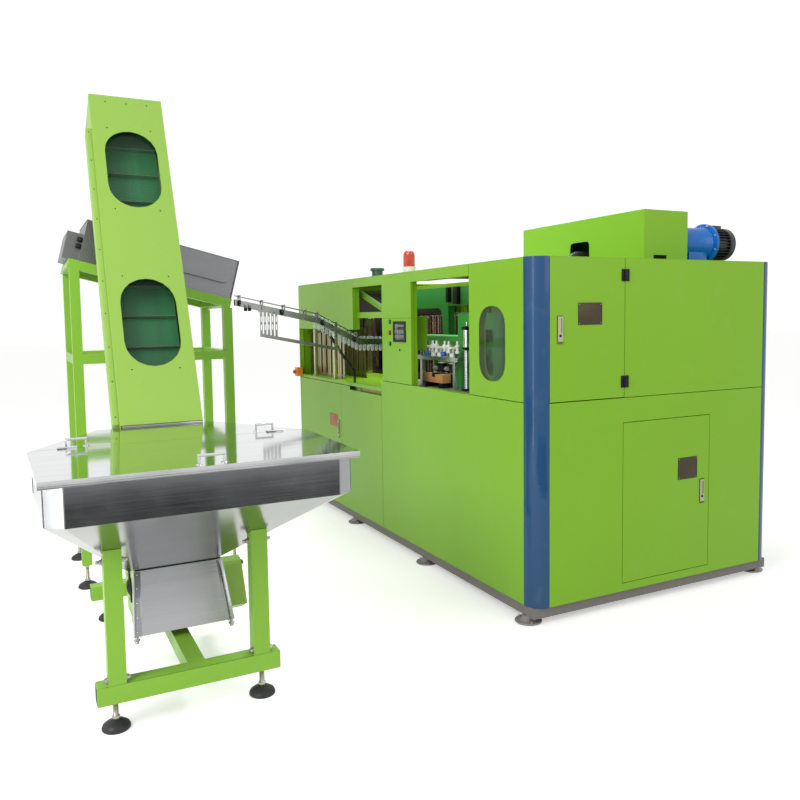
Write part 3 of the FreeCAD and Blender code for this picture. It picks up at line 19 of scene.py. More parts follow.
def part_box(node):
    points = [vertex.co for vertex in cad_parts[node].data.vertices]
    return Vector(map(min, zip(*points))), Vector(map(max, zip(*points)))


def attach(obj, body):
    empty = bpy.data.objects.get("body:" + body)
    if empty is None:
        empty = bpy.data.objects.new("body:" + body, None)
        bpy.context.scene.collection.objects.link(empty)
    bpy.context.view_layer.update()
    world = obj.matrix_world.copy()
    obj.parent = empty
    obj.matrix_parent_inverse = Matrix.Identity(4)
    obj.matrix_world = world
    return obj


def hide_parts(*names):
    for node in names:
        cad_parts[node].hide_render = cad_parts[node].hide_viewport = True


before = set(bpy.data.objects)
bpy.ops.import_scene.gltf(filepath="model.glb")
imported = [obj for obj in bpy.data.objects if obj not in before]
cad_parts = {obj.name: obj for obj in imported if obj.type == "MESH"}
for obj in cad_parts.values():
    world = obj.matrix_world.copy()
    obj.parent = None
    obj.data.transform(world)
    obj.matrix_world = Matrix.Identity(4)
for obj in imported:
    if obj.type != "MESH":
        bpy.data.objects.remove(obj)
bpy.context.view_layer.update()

LOG = logging.getLogger("machine")

Triple = Sequence[float]
Pair = tuple[float, float]
Point = tuple[float, float, float]
Colour = tuple[float, float, float, float]
ROOF_LOW, ROOF_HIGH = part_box("roof")
MM = 0.001
LAYOUT = Matrix.Translation((ROOF_HIGH.x, ROOF_LOW.y, 0.0)) @ Matrix.Scale(MM, 4)

# driving sizes of the machine, in millimetres and degrees, as it was constructed
CABINET_LENGTH = 3787.0
CABINET_DEPTH = 1905.0
CABINET_TOP = 2050.0
DECK_TOP = 1190.0
BED_TOP = 1226.0
COLUMN_LEFT = -1903.0
ELEVATOR_FOOT = (-344.0, -1820.0, 245.0)
ELEVATOR_LEAN = 25.4
ELEVATOR_LENGTH = 3161.0
ELEVATOR_WINDOWS = (1640.0, 2640.0)
COVER_FROM = 1048.0
COVER_HALF = 212.3
TROUGH_CORNER = (-1945.0, -2110.0, 2117.0)
TROUGH_SLOPE = 14.2
TROUGH_LENGTH = 1000.0
TROUGH_WIDTH = 650.0
TROUGH_HEIGHT = 270.0
BIN_Y = -1845.0
LID_TOP = 1180.0
RAIL_X = TROUGH_CORNER[0] - TROUGH_WIDTH / 2
RAIL_PATH = ((-1030.0, 1880.0), (-385.0, 1740.0), (-40.0, 1565.0), (500.0, 1545.0))

# degrees and millimetres that rounding, shading and merging go by
SHARP_ANGLE = 40.0
NODE_SHARP_ANGLE = 50.0
SMOOTH_ANGLE = 32.0
MERGE_DISTANCE = 0.001
NODE_MERGE_DISTANCE = 0.01

# places of the sub-assemblies; on a panel X runs across its face, Y out of it and Z up
UPRIGHT = Matrix.Identity(4)
LEANING = Matrix.Translation(ELEVATOR_FOOT) @ Matrix.Rotation(math.radians(-ELEVATOR_LEAN), 4, "Y")
SLOPING = Matrix.Translation(TROUGH_CORNER) @ Matrix.Rotation(math.radians(-TROUGH_SLOPE), 4, "X")
FRONT_FACING = Matrix(((1, 0, 0, 0), (0, -1, 0, 0), (0, 0, 1, 0), (0, 0, 0, 1)))
END_FACING = Matrix(((0, 1, 0, 0), (1, 0, 0, 0), (0, 0, 1, 0), (0, 0, 0, 1)))
BACK_FACING = Matrix(((-1, 0, 0, 0), (0, 1, 0, CABINET_DEPTH), (0, 0, 1, 0), (0, 0, 0, 1)))
LEFT_FACING = Matrix(((0, -1, 0, -CABINET_LENGTH), (-1, 0, 0, CABINET_DEPTH), (0, 0, 1, 0), (0, 0, 0, 1)))
DOOR_FACING = {"end_upper": END_FACING, "end_lower": END_FACING, "front": FRONT_FACING}

ALONG_X, ALONG_Y, UP = (1, 0, 0), (0, 1, 0), (0, 0, 1)
SIDES = (-1, 1)


class Grain(Enum):
    """Direction in which a brushed surface was worked, as the stretch of its streaks along X, Y and Z."""

    ALONG_Y = (260.0, 2.0, 260.0)
    ALONG_Z = (260.0, 260.0, 2.0)


# ---------------------------------------------------------------- shader arithmetic
class Signal:
    """A value, colour or vector inside a material; arithmetic on it adds the Math nodes it needs."""

    def __init__(self, tree: bpy.types.NodeTree, socket: bpy.types.NodeSocket) -> None:
        """Wrap an output socket of a node tree."""
        self.tree, self.socket = tree, socket

    def _math(self, operation: str, first: "Value", second: "Value") -> "Signal":
        """Add one Math node.

        Args:
            operation: Name of the operation.
            first: First operand.
            second: Second operand.

        Returns:
            The node's result.
        """
        node = self.tree.nodes.new("ShaderNodeMath")
        node.operation = operation
        for socket, value in zip(node.inputs, (first, second)):
            connect(self.tree, socket, value)
        return Signal(self.tree, node.outputs[0])

    def _before(self, operation: str, other: "Value") -> "Signal":
        """Result of an operation with the other value on its right."""
        return self._math(operation, self, other)

    def _after(self, operation: str, other: "Value") -> "Signal":
        """Result of an operation with the other value on its left."""
        return self._math(operation, other, self)

    __add__, __radd__ = partialmethod(_before, "ADD"), partialmethod(_after, "ADD")
    __sub__ = partialmethod(_before, "SUBTRACT")
    __mul__ = partialmethod(_before, "MULTIPLY")
    __truediv__ = partialmethod(_before, "DIVIDE")
    __mod__ = partialmethod(_before, "FLOORED_MODULO")
    capped = partialmethod(_before, "MINIMUM")


Value = Union[Signal, float, Sequence[float]]


def connect(tree: bpy.types.NodeTree, socket: bpy.types.NodeSocket, value: Value) -> None:
    """Link a signal to a socket, or set a plain value on it.

    Args:
        tree: Node tree that the socket is in.
        socket: Input socket.
        value: Signal, number or colour.
    """
    if isinstance(value, Signal):
        tree.links.new(value.socket, socket)
    else:
        socket.default_value = value


def linear(code: str) -> Colour:
    """Linear red, green, blue and alpha of a colour that is seen as six hexadecimal digits."""
    shares = [int(code[i:i + 2], 16) / 255 for i in (0, 2, 4)]
    return (*(s / 12.92 if s <= 0.04045 else ((s + 0.055) / 1.055) ** 2.4 for s in shares), 1.0)


def shade(colour: Colour, factor: float) -> Colour:
    """Lighter or darker version of a linear colour."""
    return (*(part * factor for part in colour[:3]), 1.0)


class Nodes:
    """A node tree and the short way to add to it."""

    def __init__(self, tree: bpy.types.NodeTree) -> None:
        """Wrap a node tree."""
        self.tree = tree

    def node(self, kind: str, inputs: Optional[Mapping] = None, output: Union[int, str] = 0,
             **settings: object) -> Signal:
        """Add a node.

        Args:
            kind: Type of the node.
            inputs: Values or signals by socket name or number.
            output: Name or number of the wanted result.
            **settings: Properties that are set first.

        Returns:
            The wanted result of the node.
        """
        made = self.tree.nodes.new(kind)
        for name, value in settings.items():
            setattr(made, name, value)
        for name, value in (inputs or {}).items():
            connect(self.tree, made.inputs[name], value)
        return Signal(self.tree, made.outputs[output])


class Shader(Nodes):
    """One material's node tree and the short ways to fill it."""

    def __init__(self, name: str) -> None:
        """Make a material with its surface shader.

        Args:
            name: Name of the material.
        """
        self.material = bpy.data.materials.new(name)
        self.material.use_nodes = True
        super().__init__(self.material.node_tree)
        self.surface = self.tree.nodes["Principled BSDF"]
        self.place = self.node("ShaderNodeTexCoord", output="Object")

    def set(self, **values: Value) -> None:
        """Set or link sockets of the surface shader; an underscore in a name stands for a space."""
        for name, value in values.items():
            connect(self.tree, self.surface.inputs[name.replace("_", " ")], value)

    def mapped(self, **change: Triple) -> Signal:
        """Coordinates of the piece after a mapping by a Scale or a Rotation."""
        return self.node("ShaderNodeMapping", {"Vector": self.place, **change})

    def noise(self, scale: float, detail: float = 2.0, stretch: Optional[Triple] = None) -> Signal:
        """Noise from 0 to 1, by features per metre, finer layers and factors on X, Y and Z."""
        where = self.mapped(Scale=stretch) if stretch else self.place
        return self.node("ShaderNodeTexNoise", {"Vector": where, "Scale": scale, "Detail": detail})

    def axis(self, letter: str, turn: Triple = (0.0, 0.0, 0.0)) -> Signal:
        """Coordinate X, Y or Z of the piece in metres, after a turn by angles in degrees."""
        turned = self.mapped(Rotation=[math.radians(angle) for angle in turn])
        return self.node("ShaderNodeSeparateXYZ", {0: turned}, letter)

    def between(self, share: Value, first: Value, second: Value) -> Signal:
        """Mix of two colours with a share of the second one."""
        return self.node("ShaderNodeMix", {0: share, 6: first, 7: second}, 2, data_type="RGBA",
                         clamp_factor=True)

    def relief(self, height: Signal, depth: float, strength: float = 1.0) -> Signal:
        """Normal bent by a height of 0 to 1 that stands for a depth in metres."""
        return self.node("ShaderNodeBump", {"Height": height, "Distance": depth, "Strength": strength})


# ---------------------------------------------------------------- finishes
@dataclass(frozen=True)
class Finish:
    """Base of every finish: a colour and its gloss."""

    name: str
    colour: str
    roughness: float = 0.45

    def paint(self, shader: Shader) -> None:
        """Fill a material's nodes."""
        shader.set(Base_Color=linear(self.colour), Roughness=self.roughness)

    def mottled(self, shader: Shader, share: Value, dark: float, light: float) -> Signal:
        """The colour between a darker and a lighter version of itself."""
        base = linear(self.colour)
        return shader.between(share, shade(base, dark), shade(base, light))


@lru_cache(maxsize=None)
def material_of(finish: Finish) -> bpy.types.Material:
    """Material of a finish, made the first time that it is asked for.

    Args:
        finish: The finish.

    Returns:
        Its material.
    """
    shader = Shader(finish.name)
    finish.paint(shader)
    return shader.material


@dataclass(frozen=True)
class PowderCoat(Finish):
    """Baked powder paint on sheet steel: fine orange peel, faint cloudiness and handling haze."""

    peel: float = 0.00012
    cloud: float = 0.05
    coat: float = 0.06
    sheen: float = 0.28
    coat_blur: float = 0.18
    dust: str = "A9AE93"

    def paint(self, shader: Shader) -> None:
        """Fill a material's nodes.

        Args:
            shader: Node tree to fill.
        """
        haze = shader.noise(7.0, 4.0)
        tone = self.mottled(shader, shader.noise(0.9, 3.0), 1 - self.cloud, 1 + self.cloud)
        shader.set(
            Base_Color=shader.between((haze - 0.6) * 0.35, tone, linear(self.dust)),
            Specular_IOR_Level=self.sheen,
            Roughness=self.roughness + (haze - 0.5) * 0.16,
            Normal=shader.relief(shader.noise(240.0, 1.0), self.peel),
            Coat_Weight=self.coat,
            Coat_Roughness=self.coat_blur)


@dataclass(frozen=True)
class BrushedSteel(Finish):
    """Stainless sheet with drawn grain, long scratches and wiped smudges."""

    grain: Grain = Grain.ALONG_Y
    smudge: float = 0.10
    waviness: float = 0.0006

    def paint(self, shader: Shader) -> None:
        """Fill a material's nodes.

        Args:
            shader: Node tree to fill.
        """
        streaks = shader.noise(1.0, 4.0, self.grain.value)
        wide = shader.noise(0.12, 3.0, self.grain.value)
        smears = shader.noise(5.5, 5.0)
        height = shader.noise(2.2) * self.waviness / MM + streaks * 0.02
        shader.set(
            Base_Color=self.mottled(shader, streaks * 0.5 + wide * 0.5, 0.80, 1.12),
            Metallic=1.0,
            Roughness=self.roughness + (streaks - 0.5) * 0.12 + (smears - 0.5) * self.smudge,
            Normal=shader.relief(height, MM))


@dataclass(frozen=True)
class BareMetal(Finish):
    """Machined or plated metal with fine tool marks."""

    marks: float = 0.00004

    def paint(self, shader: Shader) -> None:
        """Fill a material's nodes.

        Args:
            shader: Node tree to fill.
        """
        shader.set(
            Base_Color=self.mottled(shader, shader.noise(60.0, 4.0), 0.82, 1.08),
            Metallic=1.0,
            Roughness=self.roughness + (shader.noise(25.0, 3.0) - 0.5) * 0.14,
            Normal=shader.relief(shader.noise(420.0), self.marks))


@dataclass(frozen=True)
class Cast(Finish):
    """Painted casting: glossy coat over a slightly pitted skin."""

    grit: float = 0.0004
    grit_scale: float = 160.0
    metallic: float = 0.0
    coat: float = 0.15
    shine: float = 0.5

    def paint(self, shader: Shader) -> None:
        """Fill a material's nodes.

        Args:
            shader: Node tree to fill.
        """
        patches = shader.noise(14.0, 4.0)
        shader.set(
            Base_Color=self.mottled(shader, patches, 0.72, 1.2),
            Metallic=self.metallic,
            Specular_IOR_Level=self.shine,
            Roughness=self.roughness + (patches - 0.5) * 0.2,
            Normal=shader.relief(shader.noise(self.grit_scale, 3.0), self.grit),
            Coat_Weight=self.coat)


@dataclass(frozen=True)
class BeltWeave(Finish):
    """Coated conveyor belt: tight fabric weave under a soft sheen, worn paler in places."""

    pitch: float = 0.012

    def paint(self, shader: Shader) -> None:
        """Fill a material's nodes.

        Args:
            shader: Node tree to fill.
        """
        across = shader.axis("Y") % self.pitch / self.pitch
        along = shader.axis("Z", (0.0, ELEVATOR_LEAN, 0.0)) % self.pitch / self.pitch
        weave = (across - 0.5) * (along - 0.5) * 4.0
        worn = shader.noise(6.0, 5.0)
        tracks = shader.noise(1.0, 3.0, (0.5, 17.0, 0.5))
        shader.set(
            Base_Color=self.mottled(shader, worn * 0.35 + tracks * 0.65, 0.45, 1.6),
            Roughness=self.roughness + (worn - 0.5) * 0.2,
            Normal=shader.relief(weave * 0.5 + 0.5, 0.0002, 0.15))


@dataclass(frozen=True)
class Clear(Finish):
    """Clear sheet or bottle plastic: thin in the middle of a view and denser towards its edges."""

    face: float = 0.12
    rim: float = 0.6

    def paint(self, shader: Shader) -> None:
        """Fill a material's nodes.

        Args:
            shader: Node tree to fill.
        """
        facing = shader.node("ShaderNodeLayerWeight", {"Blend": 0.35}, "Facing")
        smears = shader.noise(8.0, 4.0)
        shader.set(
            Base_Color=linear(self.colour),
            Roughness=self.roughness + smears * 0.06,
            Alpha=self.face + facing * (self.rim - self.face) + (smears - 0.5) * 0.05,
            Coat_Weight=0.6,
            Coat_Roughness=0.03)


@dataclass(frozen=True)
class Lens(Finish):
    """Moulded signal lens with level rings and a glow from inside."""

    glow: float = 0.35
    pitch: float = 0.008

    def paint(self, shader: Shader) -> None:
        """Fill a material's nodes.

        Args:
            shader: Node tree to fill.
        """
        rings = shader.axis("Z") % self.pitch / self.pitch
        shader.set(
            Base_Color=self.mottled(shader, shader.noise(30.0), 0.8, 1.25),
            Roughness=self.roughness,
            Coat_Weight=0.8,
            Emission_Color=linear(self.colour),
            Emission_Strength=self.glow,
            Normal=shader.relief(rings, 0.0008))


LIME = PowderCoat("lime_powder_coat", "7EB320", 0.38)
# paler copy of the lime paint for the elevator: its extra paleness is painted light on the leaning elevator
ELEVATOR_LIME_PAINTED_LIGHT = PowderCoat("lime_powder_coat_painted_lighter", "8FB64E", 0.40)
LIME_TUBE = PowderCoat("lime_tube_paint", "86B93C", 0.40, peel=0.0002)
LEAF = PowderCoat("leaf_green_inner_paint", "46A342", 0.42)
DARK_GREEN = PowderCoat("mid_green_portal_paint", "3E9440", 0.45)
BLUE = PowderCoat("blue_column_paint", "174772", 0.30, cloud=0.04, coat=0.4, sheen=0.2, coat_blur=0.06)
PLINTH = PowderCoat("plinth_paint", "7C7674", 0.52, peel=0.0003, cloud=0.12, coat=0.0)
BED_GREY = PowderCoat("bed_paint", "77787A", 0.48, peel=0.0003, cloud=0.10, coat=0.05)
SEAM_SHADOW = PowderCoat("seam_shadow", "3F5C1C", 0.60, coat=0.0)
TROUGH_GREY = BrushedSteel("trough_sheet", "7F7F82", 0.42, smudge=0.14)
# kept darker than the other stainless steels: a painted dark reflection on the bin's sheets
BIN_STEEL_PAINTED_DARK = BrushedSteel("bin_stainless_painted_dark_reflection", "9A9B9D", 0.16, smudge=0.12)
LID_STEEL = BrushedSteel("lid_polished_stainless", "D8D9DA", 0.07, smudge=0.05, waviness=0.0009)
APRON_STEEL = BrushedSteel("apron_stainless", "B4B4B6", 0.30)
# pink-beige tint: a painted warm reflection on the polished heating bank
OVEN_STEEL = BrushedSteel("heating_bank_stainless_painted_warm_reflection", "CDB9AE", 0.16, Grain.ALONG_Z)
KHAKI = BrushedSteel("khaki_guard_sheet", "8B8550", 0.42, Grain.ALONG_Z)
# dark sheet for the inside of the left end
DARK_END_SHEET = BrushedSteel("dark_end_sheet_steel", "4A4A45", 0.45, Grain.ALONG_Z)
RIB_STEEL = BrushedSteel("guard_strip_stainless", "A39B74", 0.30, Grain.ALONG_Z)
BEIGE = BrushedSteel("guard_post_stainless", "D2CDAE", 0.32, Grain.ALONG_Z)
RAIL_STEEL = BareMetal("rail_steel", "929391", 0.28)
ALUMINIUM = BareMetal("drawn_aluminium", "D3D4D2", 0.32)
MACHINED = BareMetal("machined_steel", "A8A9AC", 0.28)
ZINC = BareMetal("zinc_plated_fasteners", "B4B1A8", 0.34)
CHROME = BareMetal("bright_chrome", "DDDEDF", 0.09, marks=0.00001)
BRONZE = BareMetal("dark_bronze_plate", "4F463A", 0.50)
COPPER = BareMetal("copper_plate", "9A6B4A", 0.48)
LEVER_SILVER = BareMetal("silver_lever_plating", "A9A593", 0.36)
FOOT_STEEL = Cast("foot_casting", "8F8A88", 0.50, metallic=0.3)
FAN_BLUE = Cast("blue_enamel", "0668BE", 0.26, coat=0.1, shine=0.35)
MOTOR_BLACK = Cast("black_motor_paint", "17181A", 0.42)
BLACK_PAINT = Cast("black_satin_paint", "101112", 0.50, grit=0.0001, coat=0.0, shine=0.2)
RUBBER = Cast("black_rubber", "1E1E20", 0.72, 0.0003, 300.0)
BLACK_PLASTIC = Cast("black_plastic", "161412", 0.50, 0.00008, 500.0, coat=0.0, shine=0.25)
SCREEN_GLASS = Cast("screen_glass", "101215", 0.10, 0.00002, 500.0)
SCREEN_FIELD = Cast("screen_fields", "6E7274", 0.30, 0.00002, 500.0)
WHITE_PLASTIC = Cast("white_plastic", "E4E4DF", 0.35, 0.00006, 400.0)
GREY_PLASTIC = Cast("grey_plastic", "8E8F90", 0.42, 0.00006, 400.0)
TAN_BLOCK = Cast("tan_laminate_block", "C68C52", 0.50, grit=0.0001)
WEAR_STRIP = Cast("worn_cleat_tip", "7E7668", 0.60, grit=0.0001, coat=0.0)
CAP_GREEN = Cast("breather_cap_paint", "1F4A3C", 0.40, grit=0.0002)
ORANGE = Cast("orange_plastic", "E58A1C", 0.38, 0.00006, 400.0)
RED_CAP = Cast("red_cap_plastic", "C4231C", 0.30, grit=0.00004)
GREEN_CAP = Cast("green_cap_plastic", "1E9A4A", 0.30, grit=0.00004)
BLUE_PLASTIC = Cast("blue_fitting_plastic", "2E62AE", 0.35, grit=0.00004)
BELT_GREEN = BeltWeave("belt_green", "1F7A45", 0.44)
PANE = Clear("tinted_pane", "3A3836", 0.05, face=0.06, rim=0.34)
BOTTLE_CLEAR = Clear("clear_preform_plastic", "DCE6E4", 0.08, face=0.28, rim=0.85)
RED_LENS = Lens("red_beacon_lens", "C42A1C", 0.25, glow=0.05)


# ---------------------------------------------------------------- modelling in millimetres
def turned(axis: Triple) -> Matrix:
    """Turn that brings Z onto an axis."""
    return Vector(axis).to_track_quat("Z", "Y").to_matrix().to_4x4()


class Form:
    """A piece under construction in layout millimetres."""

    def __init__(self, name: str, layout: Matrix = UPRIGHT) -> None:
        """Start an empty piece, measured from the place of its sub-assembly."""
        self.name, self.layout, self.mesh = name, layout, bmesh.new()

    def _round(self, corners: Iterable[bmesh.types.BMVert], edge: float, segments: int = 2) -> None:
        """Bevel the sharp edges between some corners.

        Args:
            corners: Corners of the new geometry.
            edge: Width of the bevel.
            segments: Number of its steps.
        """
        sharp = {e for v in corners for e in v.link_edges
                 if e.is_manifold and e.calc_face_angle() > math.radians(SHARP_ANGLE)}
        bmesh.ops.bevel(self.mesh, geom=list(sharp), offset=edge, offset_type="OFFSET", segments=segments,
                        profile=0.5, affect="EDGES", clamp_overlap=True, material=-1)

    def _push(self, faces: list[bmesh.types.BMFace], push: Triple, edge: float) -> "Form":
        """Push flat faces out into a solid.

        Args:
            faces: The faces.
            push: Direction and length of the push.
            edge: Width of the rounding, or 0 for none.

        Returns:
            The piece.
        """
        corners = [v for face in faces for v in face.verts]
        grown = bmesh.ops.extrude_face_region(self.mesh, geom=faces)["geom"]
        lifted = [item for item in grown if isinstance(item, bmesh.types.BMVert)]
        bmesh.ops.translate(self.mesh, verts=lifted, vec=self.layout.to_3x3() @ Vector(push))
        if edge:
            self._round(corners + lifted, edge)
        return self

    def box(self, low: Triple, high: Triple, edge: float = 1.0, segments: int = 2) -> "Form":
        """Add a block with rounded edges.

        Args:
            low: Lowest corner.
            high: Highest corner.
            edge: Width of the rounding.
            segments: Number of its steps.

        Returns:
            The piece.
        """
        low, high = Vector(low), Vector(high)
        place = Matrix.Translation((low + high) / 2) @ Matrix.Diagonal((*(high - low), 1.0))
        made = bmesh.ops.create_cube(self.mesh, size=1.0, matrix=self.layout @ place)
        self._round(made["verts"], edge, segments)
        return self

    def bar(self, start: Triple, end: Triple, radius: float, sides: int = 24, edge: float = 0.0) -> "Form":
        """Add a round bar.

        Args:
            start: Middle of its first end.
            end: Middle of its other end.
            radius: Its radius.
            sides: Number of sides.
            edge: Width of the rounding at its ends, or 0 for none.

        Returns:
            The piece.
        """
        start, end = Vector(start), Vector(end)
        run = end - start
        made = bmesh.ops.create_cone(
            self.mesh, cap_ends=True, cap_tris=False, segments=sides, radius1=radius, radius2=radius,
            depth=run.length, matrix=self.layout @ Matrix.Translation((start + end) / 2) @ turned(run))
        if edge:
            self._round(made["verts"], edge)
        return self

    def lathe(self, profile: Sequence[Pair], foot: Triple, axis: Triple = UP, steps: int = 32) -> "Form":
        """Add a turned solid.

        Args:
            profile: (radius, height) pairs from the middle of its foot to the middle of its top.
            foot: Point on its axis at height 0.
            axis: Direction of its axis.
            steps: Number of steps round the axis.

        Returns:
            The piece.
        """
        place = self.layout @ Matrix.Translation(foot) @ turned(axis)
        line = [self.mesh.verts.new(place @ Vector((radius, 0.0, height))) for radius, height in profile]
        edges = [self.mesh.edges.new(pair) for pair in zip(line, line[1:])]
        known = set(self.mesh.verts) - set(line)
        bmesh.ops.spin(self.mesh, geom=line + edges, cent=place.translation,
                       axis=place.to_3x3() @ Vector(UP), dvec=(0, 0, 0), angle=math.tau,
                       steps=steps, use_merge=True, use_duplicate=False)
        fresh = [v for v in self.mesh.verts if v not in known]
        bmesh.ops.remove_doubles(self.mesh, verts=fresh, dist=MERGE_DISTANCE)
        return self

    def prism(self, outline: Sequence[Triple], push: Triple, edge: float = 0.0) -> "Form":
        """Add an outline, given by its corners in order, pushed along a direction."""
        corners = [self.mesh.verts.new(self.layout @ Vector(point)) for point in outline]
        return self._push([self.mesh.faces.new(corners)], push, edge)

    def ring(self, outer: Sequence[Triple], inner: Sequence[Triple], push: Triple, edge: float) -> "Form":
        """Add a flat ring between two outlines with as many corners, pushed along a direction.

        Args:
            outer: Corners of its outer edge in order.
            inner: Corners of its hole in the same order.
            push: Direction and length of the push.
            edge: Width of the rounding.

        Returns:
            The piece.
        """
        rows = [[self.mesh.verts.new(self.layout @ Vector(point)) for point in line]
                for line in (outer, inner)]
        after = [row[1:] + row[:1] for row in rows]
        faces = [self.mesh.faces.new(four) for four in zip(rows[0], after[0], after[1], rows[1])]
        return self._push(faces, push, edge)

    def pipe(self, points: Sequence[Triple], radius: float, sides: int) -> "Form":
        """Add a round pipe along a smooth line.

        Args:
            points: Control points of the line.
            radius: Radius of the pipe.
            sides: Number of sides.

        Returns:
            The piece.
        """
        curve = bpy.data.curves.new("line", "CURVE")
        curve.dimensions = "3D"
        curve.bevel_depth = radius
        curve.bevel_resolution = sides // 2 - 2
        curve.use_fill_caps = True
        spline = curve.splines.new("NURBS")
        spline.points.add(len(points) - 1)
        for control, point in zip(spline.points, points):
            control.co = (*(self.layout @ Vector(point)), 1.0)
        spline.order_u = 3
        spline.use_endpoint_u = True
        spline.resolution_u = 6
        carrier = bpy.data.objects.new("line", curve)
        mesh = bpy.data.meshes.new_from_object(carrier)
        self.mesh.from_mesh(mesh)
        bpy.data.objects.remove(carrier)
        bpy.data.curves.remove(curve)
        bpy.data.meshes.remove(mesh)
        return self

    def place(self, finish: Finish, slot: str, body: str = "machine", replaces: str = "",
              smooth: float = SMOOTH_ANGLE) -> None:
        """Turn the piece into an object of the scene.

        Args:
            finish: Its finish.
            slot: Not used.
            body: Body that it rides on.
            replaces: Node that it stands for.
            smooth: Angle in degrees below which neighbouring faces are shaded as one.
        """
        bmesh.ops.recalc_face_normals(self.mesh, faces=self.mesh.faces)
        bmesh.ops.transform(self.mesh, matrix=LAYOUT, verts=self.mesh.verts)
        data = bpy.data.meshes.new(self.name)
        self.mesh.to_mesh(data)
        self.mesh.free()
        data.polygons.foreach_set("use_smooth", [True] * len(data.polygons))
        data.set_sharp_from_angle(angle=math.radians(smooth))
        data.materials.append(material_of(finish))
        piece = bpy.data.objects.new(self.name, data)
        bpy.context.scene.collection.objects.link(piece)
        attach(piece, body)
        if replaces:
            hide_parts(replaces)
        LOG.info("%s: %d faces on %s", self.name, len(data.polygons), body)


def dress(node: str, finish: Finish, edge: float) -> None:
    """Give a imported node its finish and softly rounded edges.

    Args:
        node: Name of the node.
        finish: Its finish.
        edge: Width of the rounding in millimetres, or 0 for none.
    """
    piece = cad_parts[node]
    for index in range(len(piece.data.materials)):
        piece.data.materials[index] = material_of(finish)
    if edge:
        piece.modifiers.new("joined", "WELD").merge_threshold = NODE_MERGE_DISTANCE * MM
        bevel = piece.modifiers.new("rounded", "BEVEL")
        bevel.width = edge * MM
        bevel.segments = 2
        bevel.limit_method = "ANGLE"
        bevel.angle_limit = math.radians(NODE_SHARP_ANGLE)
        bevel.harden_normals = True
    LOG.info("%s: dressed in %s", node, finish.name)


# ---------------------------------------------------------------- small repeated fittings
def screw_heads(form: Form, seats: Iterable[Triple], axis: Triple, radius: float = 5.0,
                rise: float = 1.0) -> Form:
    """Add low domed screw heads.

    Args:
        form: Piece that gets them.
        seats: Middles of their seats.
        axis: Direction in which they face.
        radius: Radius of a head.
        rise: Factor on its height.

    Returns:
        The piece.
    """
    lift = radius * rise
    profile = ((0.0, -0.3), (radius, -0.3), (radius, lift * 0.3), (radius * 0.6, lift * 0.6),
               (0.0, lift * 0.7))
    for seat in seats:
        form.lathe(profile, seat, axis, steps=10)
    return form


def bolt_heads(form: Form, seats: Iterable[Triple], axis: Triple, size: float = 7.0) -> None:
    """Add hexagon heads on their washers.

    Args:
        form: Piece that gets them.
        seats: Middles of their seats.
        axis: Direction in which they face.
        size: Radius of a head over its corners.
    """
    lift = Vector(axis)
    for seat in map(Vector, seats):
        washer, top = seat + lift * size * 0.25, seat + lift * size * 0.95
        form.bar(seat - lift * 0.3, washer, size * 1.35, 20, 0.4)
        form.bar(washer, top, size, 6, 0.5)


def steps_between(first: float, last: float, pitch: float) -> list[float]:
    """Evenly spaced stations, both ends among them, about one pitch apart."""
    count = max(1, round(abs(last - first) / pitch))
    return [first + (last - first) * index / count for index in range(count + 1)]


def ribbed(heights: Iterable[float], first: float, second: float, rise: float) -> list[Pair]:
    """Profile points that go from a first radius at each height to a second one a rise above it."""
    return [point for z in heights for point in ((first, z), (second, z + rise))]


def rectangle(u0: float, u1: float, z0: float, z1: float, depth: float) -> list[Point]:
    """Corners of an upright rectangle from u0 to u1 and z0 to z1, at a height above a panel."""
    return [(u0, depth, z0), (u1, depth, z0), (u1, depth, z1), (u0, depth, z1)]


def obround(width: float, height: float) -> list[Pair]:
    """Corners of an upright slot with half-round ends, about its middle.

    Args:
        width: Whole width.
        height: Whole height.

    Returns:
        The corners in order.
    """
    radius, straight = width / 2, (height - width) / 2
    angles = [math.pi * step / 14 for step in range(15)]
    top = [(radius * math.cos(a), straight + radius * math.sin(a)) for a in angles]
    return top + [(-u, -v) for u, v in top]


